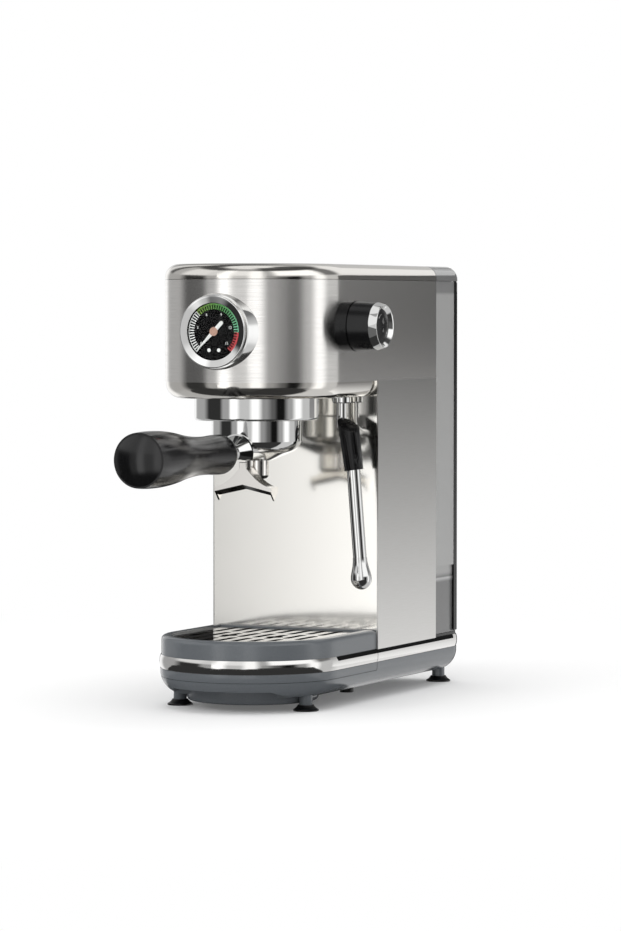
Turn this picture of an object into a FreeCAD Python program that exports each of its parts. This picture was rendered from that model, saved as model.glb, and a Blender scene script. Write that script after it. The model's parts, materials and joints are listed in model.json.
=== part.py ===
import FreeCAD, Part
import math
import os

import Sketcher
from FreeCAD import Placement, Rotation, Vector

# Slim pump espresso machine with a pressure gauge, a side knob and a steam wand.
# Machine frame while building: x = 0 on the mid-plane, y = 0 on the polished column front with the
# user at -y, z = 0 on the table. Every piece is shifted at the end, so that the origin lies under
# the middle of the whole machine's box. Sizes are in millimetres.

doc = FreeCAD.newDocument("espresso_machine")

# Driving sizes
SIZES = {
    # overall
    "machine_width": 130.0,
    "machine_height": 307.5,
    "head_reach": 124.5,
    "base_reach": 133.8,
    "column_depth": 103.7,
    "tank_depth": 55.3,
    "sheet": 1.0,
    "seam": 0.3,
    # heights of the seams
    "pan_bottom": 9.5,
    "tray_bottom": 21.2,
    "band_bottom": 27.0,
    "band_height": 9.6,
    "strip_height": 6.5,
    "shadow_height": 2.7,
    "tray_rim_top": 49.8,
    "head_height": 93.0,
    "head_floor_depth": 11.5,
    "lid_height": 10.9,
    # base
    "pan_inset": 0.6,
    "pan_round": 15.5,
    "rear_round": 20.0,
    "strip_depth": 1.4,
    "shadow_depth": 0.7,
    "band_curve": 11.0,
    "cap_start": 32.7,
    "well_radius": 46.0,
    "well_bottom": 4.6,
    "arch_height": 5.4,
    "arch_half_top": 37.0,
    "arch_half_bottom": 47.0,
    "arch_depth": 34.0,
    "foot_inset": 16.5,
    "front_foot_lead": 16.2,
    "rear_foot_inset": 12.6,
    "stem_radius": 4.6,
    "cup_radius": 8.9,
    "foot_cup": 4.2,
    "bumper_radius": 5.0,
    "bumper_height": 4.0,
    "bumper_x": 43.0,
    "bumper_y": -5.0,
    "cradle_plate": 2.0,
    "hose_drop": 16.2,
    "gland_drop": 16.4,
    "gland_radius": 5.2,
    "gland_x": -38.0,
    "gland_reach": 2.5,
    "gland_seat": 5.0,
    "gland_boss": 7.0,
    # drip tray
    "rim_inset": 1.3,
    "rim_round": 3.2,
    "tray_wall": 2.4,
    "band_wall": 1.6,
    "grille_drop": 1.2,
    "grille_sheet": 1.4,
    "grille_skirt": 4.0,
    "grille_back": -6.0,
    "grille_radius": 56.5,
    "slot_pitch": 11.7,
    "slot_width": 5.4,
    "slot_rear": -9.0,
    "slot_length": 32.0,
    "slot_bridge": 5.5,
    "finger_radius": 6.0,
    "finger_y": -70.0,
    # head and column
    "side_fold": 8.0,
    "back_wall": 2.0,
    "screw_low_z": 52.0,
    "screw_drop": 14.6,
    "screw_radius": 1.8,
    "floor_inset": 0.6,
    "floor_round": 10.2,
    "lid_round": 9.4,
    "head_wall": 1.6,
    # brew group
    "group_y": -62.0,
    "ring_radius": 43.5,
    "ring_drop": 15.3,
    "flange_height": 4.2,
    "bowl_radius": 31.4,
    "bowl_wall": 3.2,
    "ear_reach": 5.8,
    "ear_height": 4.0,
    "ear_width": 25.0,
    "lock_turn": 45.0,
    "fit_gap": 0.6,
    "slide_gap": 0.1,
    "gasket_width": 5.2,
    "screen_radius": 25.0,
    "screen_thickness": 1.2,
    "brew_head_height": 14.0,
    "brew_flange": 36.8,
    "brew_drop": 3.1,
    "basket_wall": 0.7,
    "basket_depth": 21.5,
    # portafilter
    "shoulder_drop": 30.0,
    "bowl_drop": 43.3,
    "bowl_round": 12.0,
    "bowl_inner_round": 9.0,
    "shoulder_step": 7.4,
    "outlet_radius": 8.4,
    "outlet_wall": 2.0,
    "outlet_bore": 3.2,
    "outlet_length": 9.2,
    "handle_rise": 5.8,
    "flare_radius": 13.2,
    "flare_reach": 32.6,
    "flare_length": 6.5,
    "flare_rim": 1.1,
    "flare_cut": 1.6,
    "stud_radius": 4.0,
    "stud_length": 52.0,
    "ferrule_radius": 5.9,
    "grip_start": -114.0,
    "grip_end": -239.5,
    "grip_collar": 9.8,
    "grip_shoulder": 13.8,
    "grip_shoulder_at": 9.0,
    "grip_waist": 13.0,
    "grip_waist_at": 33.0,
    "grip_belly": 19.0,
    "grip_belly_at": 109.0,
    "grip_end_radius": 18.4,
    "grip_bend_start": 8.0,
    "grip_bend_waist": 228.0,
    "grip_bend_swell": 250.0,
    "grip_bend_belly": 226.0,
    "grip_bend_end": 187.0,
    "cap_lip": 1.2,
    "cap_seat": 2.0,
    "cap_dome": 4.5,
    "spout_front": -84.8,
    "spout_depth": 11.8,
    "spout_half": 21.8,
    "spout_wall": 1.4,
    "spout_drop": 19.0,
    "spout_height": 14.0,
    "spout_flare": 8.0,
    "spout_flare_rise": 9.6,
    "spout_end_rise": 3.0,
    "spout_end_drop": 3.0,
    "spout_tip_drop": 8.0,
    "spout_tip_x": 18.7,
    "spout_inner_x": 15.7,
    "spout_hole_x": 17.5,
    "spout_hole": 1.2,
    "spout_duct": 1.7,
    "spout_bevel": 2.4,
    "spout_floor": 4.0,
    "spout_tab": 4.5,
    "spout_tab_rise": 17.0,
    "spout_cup": 13.2,
    "spout_bridge": 6.4,
    # steam
    "pipe_x": 41.4,
    "pipe_y": -10.2,
    "pipe_radius": 3.8,
    "pipe_bend": 8.0,
    "pipe_turn": 24.5,
    "pipe_entry": 10.5,
    "sleeve_wall": 1.4,
    "sleeve_length": 14.5,
    "grip_x": 47.9,
    "grip_y": -24.0,
    "grip_drop": 16.0,
    "wand_x": 56.8,
    "wand_drop": 50.7,
    "wand_end_x": 62.0,
    "wand_end_drop": 115.1,
    "wand_radius": 4.8,
    "wand_seat": 5.0,
    "steam_grip_top": 6.0,
    "steam_grip_end": 7.6,
    "tip_radius": 6.25,
    "tip_length": 19.8,
    "nut_radius": 6.6,
    "nut_height": 4.5,
    # knob
    "knob_y": -55.0,
    "knob_rise": 38.5,
    "knob_radius": 17.4,
    "knob_collar": 7.7,
    "knob_barrel": 15.8,
    "knob_reach": 29.7,
    "knob_rim": 16.5,
    "knob_front": 15.0,
    "knob_face": 11.8,
    "knob_dish": 2.6,
    "knob_groove": 0.6,
    "knob_shaft_radius": 3.0,
    "collar_root": 60.0,
    "switch_x": 41.0,
    "switch_half": 12.0,
    # gauge
    "gauge_rise": 35.0,
    "gauge_flange_radius": 29.2,
    "gauge_bezel_radius": 24.9,
    "gauge_front": 7.4,
    "gauge_bezel_depth": 5.0,
    "gauge_rim": 0.75,
    "gauge_sight": 19.7,
    "gauge_dish": 1.2,
    "gauge_lip": 0.3,
    "gauge_glass_radius": 20.6,
    "gauge_skirt_depth": 8.0,
    "gauge_glass": 0.7,
    "gauge_dial_depth": 3.1,
    "gauge_dial": 0.8,
    "gauge_can_radius": 20.0,
    "gauge_can_depth": 24.0,
    "needle_pin": 1.2,
    "needle_hub": 3.0,
    "needle_length": 17.0,
    "needle_tail": 8.3,
    "needle_shaft": 6.0,
    "needle_half": 1.35,
    "needle_point": 0.35,
    "needle_gap": 0.25,
    "needle_sheet": 0.45,
    # tank
    "tank_inset": 0.4,
    "tank_step": 1.5,
    "tank_step_z": 88.0,
    "tank_wall": 2.2,
    "panel_start": 35.0,
    "plug_depth": 8.6,
    "socket_back": 25.7,
    "socket_radius": 9.6,
    "spigot_radius": 6.5,
    "spigot_length": 6.4,
    "valve_radius": 4.0,
    "valve_stem": 1.5,
    # inside
    "chassis_sheet": 1.5,
    "bracket_half": 45.0,
    "bracket_y": 58.0,
    "bracket_drop": 9.5,
    "heater_rear": 37.0,
    "heater_gap": 5.8,
    "heater_corner": 6.0,
    "heater_width": 70.0,
    "heater_height": 38.0,
    "pump_length": 96.0,
    "pump_x": -24.0,
    "pump_y": 30.0,
    "pump_bottom": 58.0,
    "pump_neck": 10.0,
    "pump_coil": 17.0,
    "pump_port": 8.0,
    "pump_inlet": 22.0,
    "pump_outlet": 26.0,
    "pump_nozzle": 10.0,
    "mount_low": 12.0,
    "mount_high": 20.0,
    "mount_wall": 5.0,
    "mount_height": 7.0,
    "board_half": 32.0,
    "board_bottom": 60.0,
    "board_height": 90.0,
    "board_sheet": 1.6,
    "relay_edge": 8.0,
    "relay_width": 20.0,
    "relay_rise": 12.0,
    "relay_height": 28.0,
    "relay_depth": 15.4,
    "supply_edge": 4.0,
    "supply_rise": 46.0,
    "supply_depth": 20.4,
    "steam_line_inset": 7.0,
    "spacer": 4.0,
    "hose_radius": 3.0,
    "tube_radius": 2.0,
}


class Size:
    """A number that also carries its formula, so that arithmetic on sizes stays tied to the sheet."""

    def __init__(self, value, formula):
        self.value = float(value)
        self.formula = formula

    def __add__(self, other):
        other = as_size(other)
        return Size(self.value + other.value, f"({self.formula} + {other.formula})")

    def __sub__(self, other):
        other = as_size(other)
        return Size(self.value - other.value, f"({self.formula} - {other.formula})")

    def __mul__(self, other):
        other = as_size(other)
        return Size(self.value * other.value, f"({self.formula} * {other.formula})")

    def __truediv__(self, other):
        other = as_size(other)
        return Size(self.value / other.value, f"({self.formula} / {other.formula})")

    def __radd__(self, other):
        return as_size(other) + self

    def __rsub__(self, other):
        return as_size(other) - self

    def __rmul__(self, other):
        return as_size(other) * self

    def __neg__(self):
        return as_size(-1.0) * self


def root(size):
    return Size(math.sqrt(size.value), f"sqrt({size.formula})")


def as_size(number):
    """A plain number becomes a size whose formula is the number itself."""
    return number if isinstance(number, Size) else Size(number, f"({float(number)!r})")


class SizeSheet:
    """The spreadsheet of driving sizes, read as attributes."""

    def __init__(self, table):
        self.cells = doc.addObject("Spreadsheet::Sheet", "Sizes")
        self.table = table
        for row, (alias, number) in enumerate(table.items(), start=1):
            self.cells.set(f"A{row}", alias)
            self.cells.set(f"B{row}", str(number))
            self.cells.setAlias(f"B{row}", alias)
        doc.recompute()

    def __getattr__(self, alias):
        return Size(self.table[alias], f"Sizes.{alias}")


S = SizeSheet(SIZES)
half = S.machine_width / 2
head_y = half - S.head_reach
base_y = half - S.base_reach
UP = Rotation()
ALONG_X = Rotation(Vector(0, 1, 0), 90)
ALONG_Y = Rotation(Vector(1, 0, 0), -90)
ALONG_BACK = Rotation(Vector(1, 0, 0), 90)
spots = {}
pieces = []


# Building blocks

def bind(item, prop, size):
    """Tie one property to the sheet."""
    item.setExpression(prop, as_size(size).formula)


def stand(item, at=(0, 0, 0), turn=UP):
    """Put an object at a place given by three sizes."""
    spots[item.Name] = at
    item.Placement = Placement(Vector(*[as_size(part).value for part in at]), turn)
    for letter, part in zip("xyz", at):
        if isinstance(part, Size):
            bind(item, f"Placement.Base.{letter}", part)
    return item


def cylinder(name, radius, height, at=(0, 0, 0), turn=UP, angle=360.0):
    item = doc.addObject("Part::Cylinder", name)
    bind(item, "Radius", radius)
    bind(item, "Height", height)
    bind(item, "Angle", angle)
    return stand(item, at, turn)


def cone(name, low_radius, high_radius, height, at=(0, 0, 0), turn=UP):
    item = doc.addObject("Part::Cone", name)
    bind(item, "Radius1", low_radius)
    bind(item, "Radius2", high_radius)
    bind(item, "Height", height)
    return stand(item, at, turn)


def box(name, low, high):
    """Box between two corners given as sizes."""
    item = doc.addObject("Part::Box", name)
    for prop, start, end in zip(("Length", "Width", "Height"), low, high):
        bind(item, prop, as_size(end) - as_size(start))
    return stand(item, low)


def fuse(name, *parts):
    item = doc.addObject("Part::MultiFuse", name)
    item.Shapes = list(parts)
    item.Refine = True
    return item


def cut(name, base, *tools):
    item = doc.addObject("Part::Cut", name)
    item.Base = base
    item.Tool = tools[0] if len(tools) == 1 else fuse(name + "_tools", *tools)
    return item


def common(name, *parts):
    item = doc.addObject("Part::MultiCommon", name)
    item.Shapes = list(parts)
    return item


def group(name, *parts):
    """Separate solids that share one node."""
    item = doc.addObject("Part::Compound", name)
    item.Links = list(parts)
    return item


def mirrored(name, source):
    """The same piece on the other side of the mid-plane."""
    item = doc.addObject("Part::Mirroring", name)
    item.Source = source
    item.Normal = Vector(1, 0, 0)
    return item


def draw(sketch, corners):
    """One closed loop; a corner with a third number is reached by an arc of that radius,
    positive where the arc's centre lies on the left."""
    spots_here = [Vector(as_size(c[0]).value, as_size(c[1]).value, 0) for c in corners]
    ends = []
    for index, corner in enumerate(corners):
        start, stop = spots_here[index - 1], spots_here[index]
        if len(corner) == 2:
            edge = sketch.addGeometry(Part.LineSegment(start, stop))
            ends.append((edge, 1, 2))
            continue
        bend = as_size(corner[2])
        chord = stop - start
        side = 1 if bend.value > 0 else -1
        rise = math.sqrt(max(bend.value ** 2 - (chord.Length / 2) ** 2, 0.0))
        left = Vector(-chord.y, chord.x, 0).normalize()
        centre = (start + stop) * 0.5 + left * (side * rise)
        first, last = (start, stop) if side > 0 else (stop, start)
        angles = [math.atan2(spot.y - centre.y, spot.x - centre.x) for spot in (first, last)]
        circle = Part.Circle(centre, Vector(0, 0, 1), abs(bend.value))
        edge = sketch.addGeometry(Part.ArcOfCircle(circle, *angles))
        ends.append((edge, 1, 2) if side > 0 else (edge, 2, 1))
        mark = sketch.addConstraint(Sketcher.Constraint("Radius", edge, abs(bend.value)))
        size = bend if side > 0 else -bend
        sketch.setExpression(f"Constraints[{mark}]", size.formula)
    for index, corner in enumerate(corners):
        edge, _, stop_code = ends[index]
        following, start_code, _ = ends[(index + 1) % len(corners)]
        sketch.addConstraint(Sketcher.Constraint("Coincident", edge, stop_code, following, start_code))
        for kind, axis, number in (("DistanceX", -2, corner[0]), ("DistanceY", -1, corner[1])):
            if isinstance(number, Size):
                tie = Sketcher.Constraint(kind, -1, 1, edge, stop_code, number.value)
                mark = sketch.addConstraint(tie)
                sketch.setExpression(f"Constraints[{mark}]", number.formula)
            elif number == 0:
                sketch.addConstraint(Sketcher.Constraint("PointOnObject", edge, stop_code, axis))
            else:
                sketch.addConstraint(Sketcher.Constraint(kind, -1, 1, edge, stop_code, number))


def sketch_on(body, name, plane, lift=0.0):
    sketch = body.newObject("Sketcher::SketchObject", name)
    support = next(item for item in body.Origin.OriginFeatures if item.Role == plane)
    sketch.AttachmentSupport = [(support, "")]
    sketch.MapMode = "FlatFace"
    bind(sketch, "AttachmentOffset.Base.z", lift)
    return sketch


def slab(name, corners, bottom, top, plane="XY_Plane"):
    """Flat outline padded from one height to another."""
    body = doc.addObject("PartDesign::Body", name)
    sketch = sketch_on(body, name + "_outline", plane, bottom)
    draw(sketch, corners)
    pad = body.newObject("PartDesign::Pad", name + "_pad")
    pad.Profile = sketch
    bind(pad, "Length", as_size(top) - as_size(bottom))
    spots[body.Name] = (0, 0, 0)
    return body


def turned(name, corners, at=(0, 0, 0), turn=UP):
    """Half section, as radius and height, turned about its own axis."""
    body = doc.addObject("PartDesign::Body", name)
    sketch = sketch_on(body, name + "_section", "XZ_Plane")
    draw(sketch, corners)
    lathe = body.newObject("PartDesign::Revolution", name + "_turn")
    lathe.Profile = sketch
    lathe.ReferenceAxis = (sketch, ["V_Axis"])
    lathe.Angle = 360.0
    return stand(body, at, turn)


def soften(body, name, radius, pick):
    """Round the body's edges that the pick function accepts."""
    doc.recompute()
    names = [f"Edge{number}" for number, edge in enumerate(body.Shape.Edges, start=1) if pick(edge)]
    carrier = body.Tip
    fillet = body.newObject("PartDesign::Fillet", name)
    fillet.Base = (carrier, names)
    bind(fillet, "Radius", radius)
    body.Tip = fillet
    return body


def near(number, size):
    return abs(number - as_size(size).value) < 0.01


def flat_at(height):
    """Pick the edges that lie at one height."""
    return lambda edge: near(edge.BoundBox.ZMin, height) and near(edge.BoundBox.ZMax, height)


def upright_at(depth):
    """Pick the upright edges at one y."""
    def pick(edge):
        limits = edge.BoundBox
        upright = limits.ZLength > 0.5 and limits.XLength < 0.01 and limits.YLength < 0.01
        return upright and near(limits.YMin, depth)
    return pick


def rim_at(height, *apart):
    """Pick the edges at one height, apart from straight ones along x at the given depths."""
    def pick(edge):
        limits = edge.BoundBox
        left_out = any(near(limits.YMin, depth) and near(limits.YMax, depth) for depth in apart)
        return flat_at(height)(edge) and not left_out
    return pick


def round_front(radius, middle_y, back_y):
    """Plan of the machine: a half round front, straight sides and a flat back."""
    return [(-radius, middle_y), (0, middle_y - radius, radius), (radius, middle_y, radius),
            (radius, back_y), (-radius, back_y)]


def plan_box(half_x, low_y, high_y):
    return [(-half_x, low_y), (half_x, low_y), (half_x, high_y), (-half_x, high_y)]


def piece(name, item):
    """Register a finished piece under its own name."""
    item.Label = name
    pieces.append(item)
    return item


def rod(name, radius, start, stop):
    """Round bar between two points."""
    start = [as_size(part) for part in start]
    stop = [as_size(part) for part in stop]
    reach = [last - first for first, last in zip(start, stop)]
    length = root(reach[0] * reach[0] + reach[1] * reach[1] + reach[2] * reach[2])
    turn = Rotation(Vector(0, 0, 1), Vector(*[part.value for part in reach]))
    return cylinder(name, radius, length, at=start, turn=turn)


def tube(name, route, radius, bend):
    """Round tube along straight runs that tangent arcs join."""
    corners = [Vector(*[as_size(part).value for part in spot]) for spot in route]
    edges = []
    here = corners[0]
    for before, corner, after in zip(corners, corners[1:], corners[2:]):
        incoming = (corner - before).normalize()
        outgoing = (after - corner).normalize()
        half_turn = incoming.getAngle(outgoing) / 2
        trim = bend.value * math.tan(half_turn)
        start = corner - incoming * trim
        stop = corner + outgoing * trim
        inward = (outgoing - incoming).normalize()
        middle = corner + inward * (bend.value / math.cos(half_turn) - bend.value)
        edges.append(Part.LineSegment(here, start).toShape())
        edges.append(Part.Arc(start, middle, stop).toShape())
        here = stop
    edges.append(Part.LineSegment(here, corners[-1]).toShape())
    spine = Part.Wire(edges)
    direction = (corners[1] - corners[0]).normalize()
    mouth = Part.Wire(Part.Circle(corners[0], direction, radius.value).toShape())
    item = doc.addObject("Part::Feature", name)
    item.Shape = spine.makePipeShell([mouth], True, False)
    section = math.pi * radius.value ** 2
    print(f"{name}: volume {item.Shape.Volume:.0f}, section times length {section * spine.Length:.0f}")
    return stand(item)


# Places that several pieces share

tank_front = S.column_depth + S.seam * 2
rear = tank_front + S.tank_depth
deck = S.band_bottom + S.strip_height + S.shadow_height
band_top = S.band_bottom + S.band_height
strip_top = S.band_bottom + S.strip_height
pan_half = half - S.pan_inset
strip_x = half - S.strip_depth
head_bottom = S.machine_height - S.head_height
head_seam = head_bottom + S.head_floor_depth
head_top = S.machine_height - S.lid_height
grille_top = S.tray_rim_top - S.grille_drop
panel_half = half - S.sheet
ring_bottom = head_bottom - S.ring_drop
flange_top = ring_bottom + S.flange_height
chamber_radius = S.bowl_radius + S.ear_reach + S.fit_gap
bowl_top = flange_top + S.slide_gap + S.ear_height
rim_top = bowl_top + S.basket_wall
gasket_bottom = rim_top + S.slide_gap
gasket_outer = S.bowl_radius - S.slide_gap * 4
gasket_inner = gasket_outer - S.gasket_width
plate_top = deck + S.cradle_plate
tank_bottom = plate_top + S.slide_gap * 2
tank_back = rear - S.tank_step
low_half = half - S.tank_inset - S.tank_step
pan_floor = S.pan_bottom + S.tray_wall
hose_z = deck - S.hose_drop
gland_z = deck - S.gland_drop
grille_radius = S.grille_radius
brew_top = head_bottom + S.brew_head_height
sleeve_top = head_bottom + S.sleeve_length
sleeve_radius = S.pipe_radius + S.slide_gap + S.sleeve_wall
bowl_shoulder = head_bottom - S.shoulder_drop
bowl_floor = head_bottom - S.bowl_drop
handle_z = bowl_floor + S.handle_rise
flare_y = S.group_y - S.flare_reach
spout_seat = bowl_floor - S.outlet_length
pipe_turn_z = head_bottom - S.pipe_turn
grip_top_z = head_bottom - S.grip_drop
wand_top_z = head_bottom - S.wand_drop
wand_end_z = head_bottom - S.wand_end_drop
gauge_z = head_seam + S.gauge_rise
dial_y = S.gauge_dial_depth - S.gauge_front - S.head_reach
knob_z = head_seam + S.knob_rise
socket_y = tank_front + S.socket_back
cap_start = tank_front + S.cap_start
panel_start = tank_front + S.panel_start
collar_back = rear - (S.strip_depth - S.pan_inset)
collar_round = S.rear_round - (S.strip_depth - S.pan_inset)
socket_floor = tank_bottom - S.spigot_length - 1
chassis_half = panel_half - S.seam
panel_bottom = plate_top + 1
panel_top = head_top - S.seam * 2


# Base: pan, feet, trim and the cradle under the tank

def lower_hull():
    """Boat-like lower body in one shape; the pan and the tray's skirt are parts of it."""
    body = slab("hull", round_front(pan_half, base_y, rear), S.pan_bottom, S.band_bottom)
    soften(body, "hull_rear_corners", S.rear_round, upright_at(rear))
    return soften(body, "hull_round", S.pan_round, flat_at(S.pan_bottom))


def bulged(name, outline, back, band):
    """Cut a trim band to the rounded section that all bands share."""
    middle = S.band_bottom + S.band_height / 2
    low, high = middle - S.band_curve - S.seam, middle + S.band_curve + S.seam
    form = slab(name + "_form", outline, low, high)
    if back is not None:
        soften(form, name + "_form_corners", S.rear_round + S.seam, upright_at(back))
    soften(form, name + "_form_round", S.band_curve,
           lambda edge: flat_at(low)(edge) or flat_at(high)(edge))
    return common(name, band, form)


def base(hull):
    tray_space = box("pan_tray_space", (-half - 1, base_y - half, S.tray_bottom),
                     (half + 1, S.seam, S.band_bottom + 1))
    lower = cut("pan_lower", hull, tray_space)
    collar = slab("pan_collar", plan_box(strip_x, S.seam, collar_back), S.band_bottom, deck)
    soften(collar, "pan_collar_corners", collar_round, upright_at(collar_back))
    boss = cylinder("pan_gland_boss", S.gland_boss, S.rear_round / 2,
                    at=(S.gland_x, rear - S.rear_round / 2, gland_z), turn=ALONG_Y)
    blank = fuse("pan_blank", lower, collar, boss)

    pocket_half = strip_x - S.tray_wall * 1.5
    pocket_round = S.pan_round - S.tray_wall * 1.5
    mid_wall = S.column_depth - S.tray_wall
    pocket_front = S.seam + S.tray_wall
    column_pocket = slab("pan_column_pocket", plan_box(pocket_half, pocket_front, mid_wall),
                         pan_floor, deck + 1)
    soften(column_pocket, "pan_column_pocket_round", pocket_round,
           rim_at(pan_floor, pocket_front, mid_wall))
    rear_front = tank_front + S.tray_wall
    rear_pocket = slab("pan_rear_pocket", plan_box(pocket_half, rear_front,
                       collar_back - S.tray_wall), pan_floor, deck + 1)
    soften(rear_pocket, "pan_rear_pocket_corners", collar_round - S.tray_wall,
           upright_at(collar_back - S.tray_wall))
    soften(rear_pocket, "pan_rear_pocket_round", pocket_round, rim_at(pan_floor, rear_front))
    arch_top = S.pan_bottom + S.arch_height
    arch = slab("pan_arch", [(-S.arch_half_bottom, S.pan_bottom - 1), (S.arch_half_bottom,
                S.pan_bottom - 1), (S.arch_half_bottom, S.pan_bottom), (S.arch_half_top, arch_top),
                (-S.arch_half_top, arch_top), (-S.arch_half_bottom, S.pan_bottom)],
                S.base_reach - S.arch_depth, S.base_reach + 1, plane="XZ_Plane")
    hole_start = mid_wall - S.tray_wall
    hose_hole = cylinder("pan_hose_hole", S.hose_radius + S.seam, rear_front + S.tray_wall - hole_start,
                         at=(0, hole_start, hose_z), turn=ALONG_Y)
    cord_hole = cylinder("pan_cord_hole", S.gland_radius - 1, S.rear_round,
                         at=(S.gland_x, rear - S.rear_round / 2, gland_z), turn=ALONG_Y)
    well = turned("pan_well_shape", [(0, S.well_bottom), (S.well_radius - 3, S.well_bottom),
                  (S.well_radius, S.well_bottom + 3, 3), (S.well_radius, arch_top + 1),
                  (0, arch_top + 1)], at=(0, base_y, 0))
    shell = cut("pan_shell", blank, column_pocket, rear_pocket, arch, hose_hole, cord_hole)
    piece("base_pan", fuse("base_pan", shell, well))

    stems = []
    cups = []
    for side, x in (("left", S.foot_inset - half), ("right", half - S.foot_inset)):
        for end, y in (("front", base_y - S.front_foot_lead), ("rear", rear - S.rear_foot_inset)):
            stem = cylinder(f"stem_blank_{end}_{side}", S.stem_radius, S.pan_bottom, at=(x, y, S.foot_cup))
            stems.append(cut(f"stem_{end}_{side}", stem, hull))
            cups.append(turned(f"cup_{end}_{side}", [(0, 1.4), (S.cup_radius - 1.7, 0),
                               (S.cup_radius, 0), (S.cup_radius, 1.1),
                               (S.stem_radius + 1, S.foot_cup, -6), (0, S.foot_cup)],
                               at=(x, y, 0)))
    piece("foot_stems", group("foot_stems", *stems))
    piece("suction_cups", group("suction_cups", *cups))
    bumpers = [cylinder(f"bumper_{side}", S.bumper_radius, S.bumper_height,
                        at=(x, S.bumper_y, S.pan_bottom - S.bumper_height))
               for side, x in (("left", -S.bumper_x), ("right", S.bumper_x))]
    piece("underside_bumpers", group("underside_bumpers", *bumpers))

    outer_back = rear + S.seam
    outer = slab("strip_outer", plan_box(half, S.seam, outer_back), S.band_bottom, deck)
    soften(outer, "strip_outer_corners", S.rear_round + S.seam, upright_at(outer_back))
    core = slab("strip_core", plan_box(strip_x, S.seam - 1, collar_back), S.band_bottom - 1, deck + 1)
    soften(core, "strip_core_corners", collar_round, upright_at(collar_back))
    slot = box("strip_slot", (-half - 1, S.seam - 1, strip_top), (half + 1, cap_start, deck + 1))
    strips = bulged("side_strips", plan_box(half, -half, outer_back), outer_back,
                    cut("strip_band", outer, core, slot))
    piece("side_strips", strips)
    shadow = box("shadow_right", (strip_x, S.seam, strip_top), (half - S.shadow_depth, cap_start, deck))
    piece("shadow_strips", group("shadow_strips", shadow, mirrored("shadow_left", shadow)))

    plate = slab("cradle_plate", plan_box(strip_x, tank_front, collar_back), deck, plate_top)
    soften(plate, "cradle_plate_corners", collar_round, upright_at(collar_back))
    socket_hole = cylinder("cradle_socket_hole", S.socket_radius + S.slide_gap, S.cradle_plate + 2,
                           at=(0, socket_y, deck - 1))
    piece("tank_cradle", cut("tank_cradle", plate, socket_hole))

    bore = S.gland_radius - 2.5
    neck = S.gland_radius - 1.1
    gland_length = S.gland_seat + S.gland_reach
    gland = turned("cord_gland", [(bore, 0), (neck, 0), (neck, S.gland_seat),
                   (S.gland_radius, S.gland_seat), (S.gland_radius, gland_length - 1),
                   (S.gland_radius - 1, gland_length), (bore, gland_length)],
                   at=(S.gland_x, rear - S.gland_seat, gland_z), turn=ALONG_Y)
    piece("cord_gland", gland)


# Drip tray: moulded tray, its chrome band and the punched grille

def drip_tray(hull):
    outer_radius = half - S.band_wall
    back = -S.seam
    front_middle = base_y
    skirt_space = box("tray_skirt_space", (-half - 1, base_y - half, S.tray_bottom + S.seam),
                      (half + 1, back, S.band_bottom))
    skirt = common("tray_skirt", hull, skirt_space)
    sole = slab("tray_sole", round_front(pan_half - S.tray_wall, front_middle, back),
                S.tray_bottom, S.band_bottom)
    waist = slab("tray_waist", round_front(outer_radius, front_middle, back),
                 S.band_bottom, band_top)
    rim = slab("tray_rim", round_front(half - S.rim_inset, front_middle, back),
               band_top, S.tray_rim_top)
    soften(rim, "tray_rim_round", S.rim_round, flat_at(S.tray_rim_top))
    blank = fuse("tray_blank", skirt, sole, waist, rim)
    ledge_top = grille_top - S.grille_sheet - S.grille_skirt
    ledge_bottom = ledge_top - S.tray_wall
    well_radius = outer_radius - S.tray_wall
    ledge_radius = grille_radius - S.tray_wall
    well = slab("tray_well", round_front(well_radius, front_middle, back - S.tray_wall),
                S.tray_bottom + S.tray_wall, ledge_bottom)
    ledge = slab("tray_ledge", round_front(ledge_radius, front_middle, S.grille_back - S.tray_wall),
                 ledge_bottom - 1, ledge_top)
    seat = slab("tray_seat", round_front(grille_radius + S.slide_gap * 2, front_middle,
                S.grille_back + S.slide_gap * 2), ledge_top, S.tray_rim_top + 1)
    piece("drip_tray", cut("drip_tray", blank, well, ledge, seat))

    band_low = slab("band_low", round_front(half, front_middle, back), S.band_bottom, strip_top)
    band_high = slab("band_high", round_front(half, front_middle, back), strip_top, band_top)
    slant = slab("band_slant", [(back + 1, strip_top), (back + 1, band_top + 1),
                 (front_middle - 1, band_top + 1), (front_middle + 2, strip_top)],
                 -half - 1, half + 1, plane="YZ_Plane")
    core = slab("band_core", round_front(outer_radius, front_middle, back + 1),
                S.band_bottom - 1, band_top + 1)
    ring = fuse("band_ring", band_low, cut("band_front", band_high, slant))
    band = bulged("tray_band", round_front(half, front_middle, half), None,
                  cut("band_hollow", ring, core))
    piece("tray_band", band)

    shadow = box("tray_shadow_right", (outer_radius, front_middle + 3, strip_top),
                 (half - S.shadow_depth, back, deck))
    piece("tray_shadow_strips", group("tray_shadow_strips", shadow,
                                      mirrored("tray_shadow_left", shadow)))
    piece("drip_grille", grille(front_middle))


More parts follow.
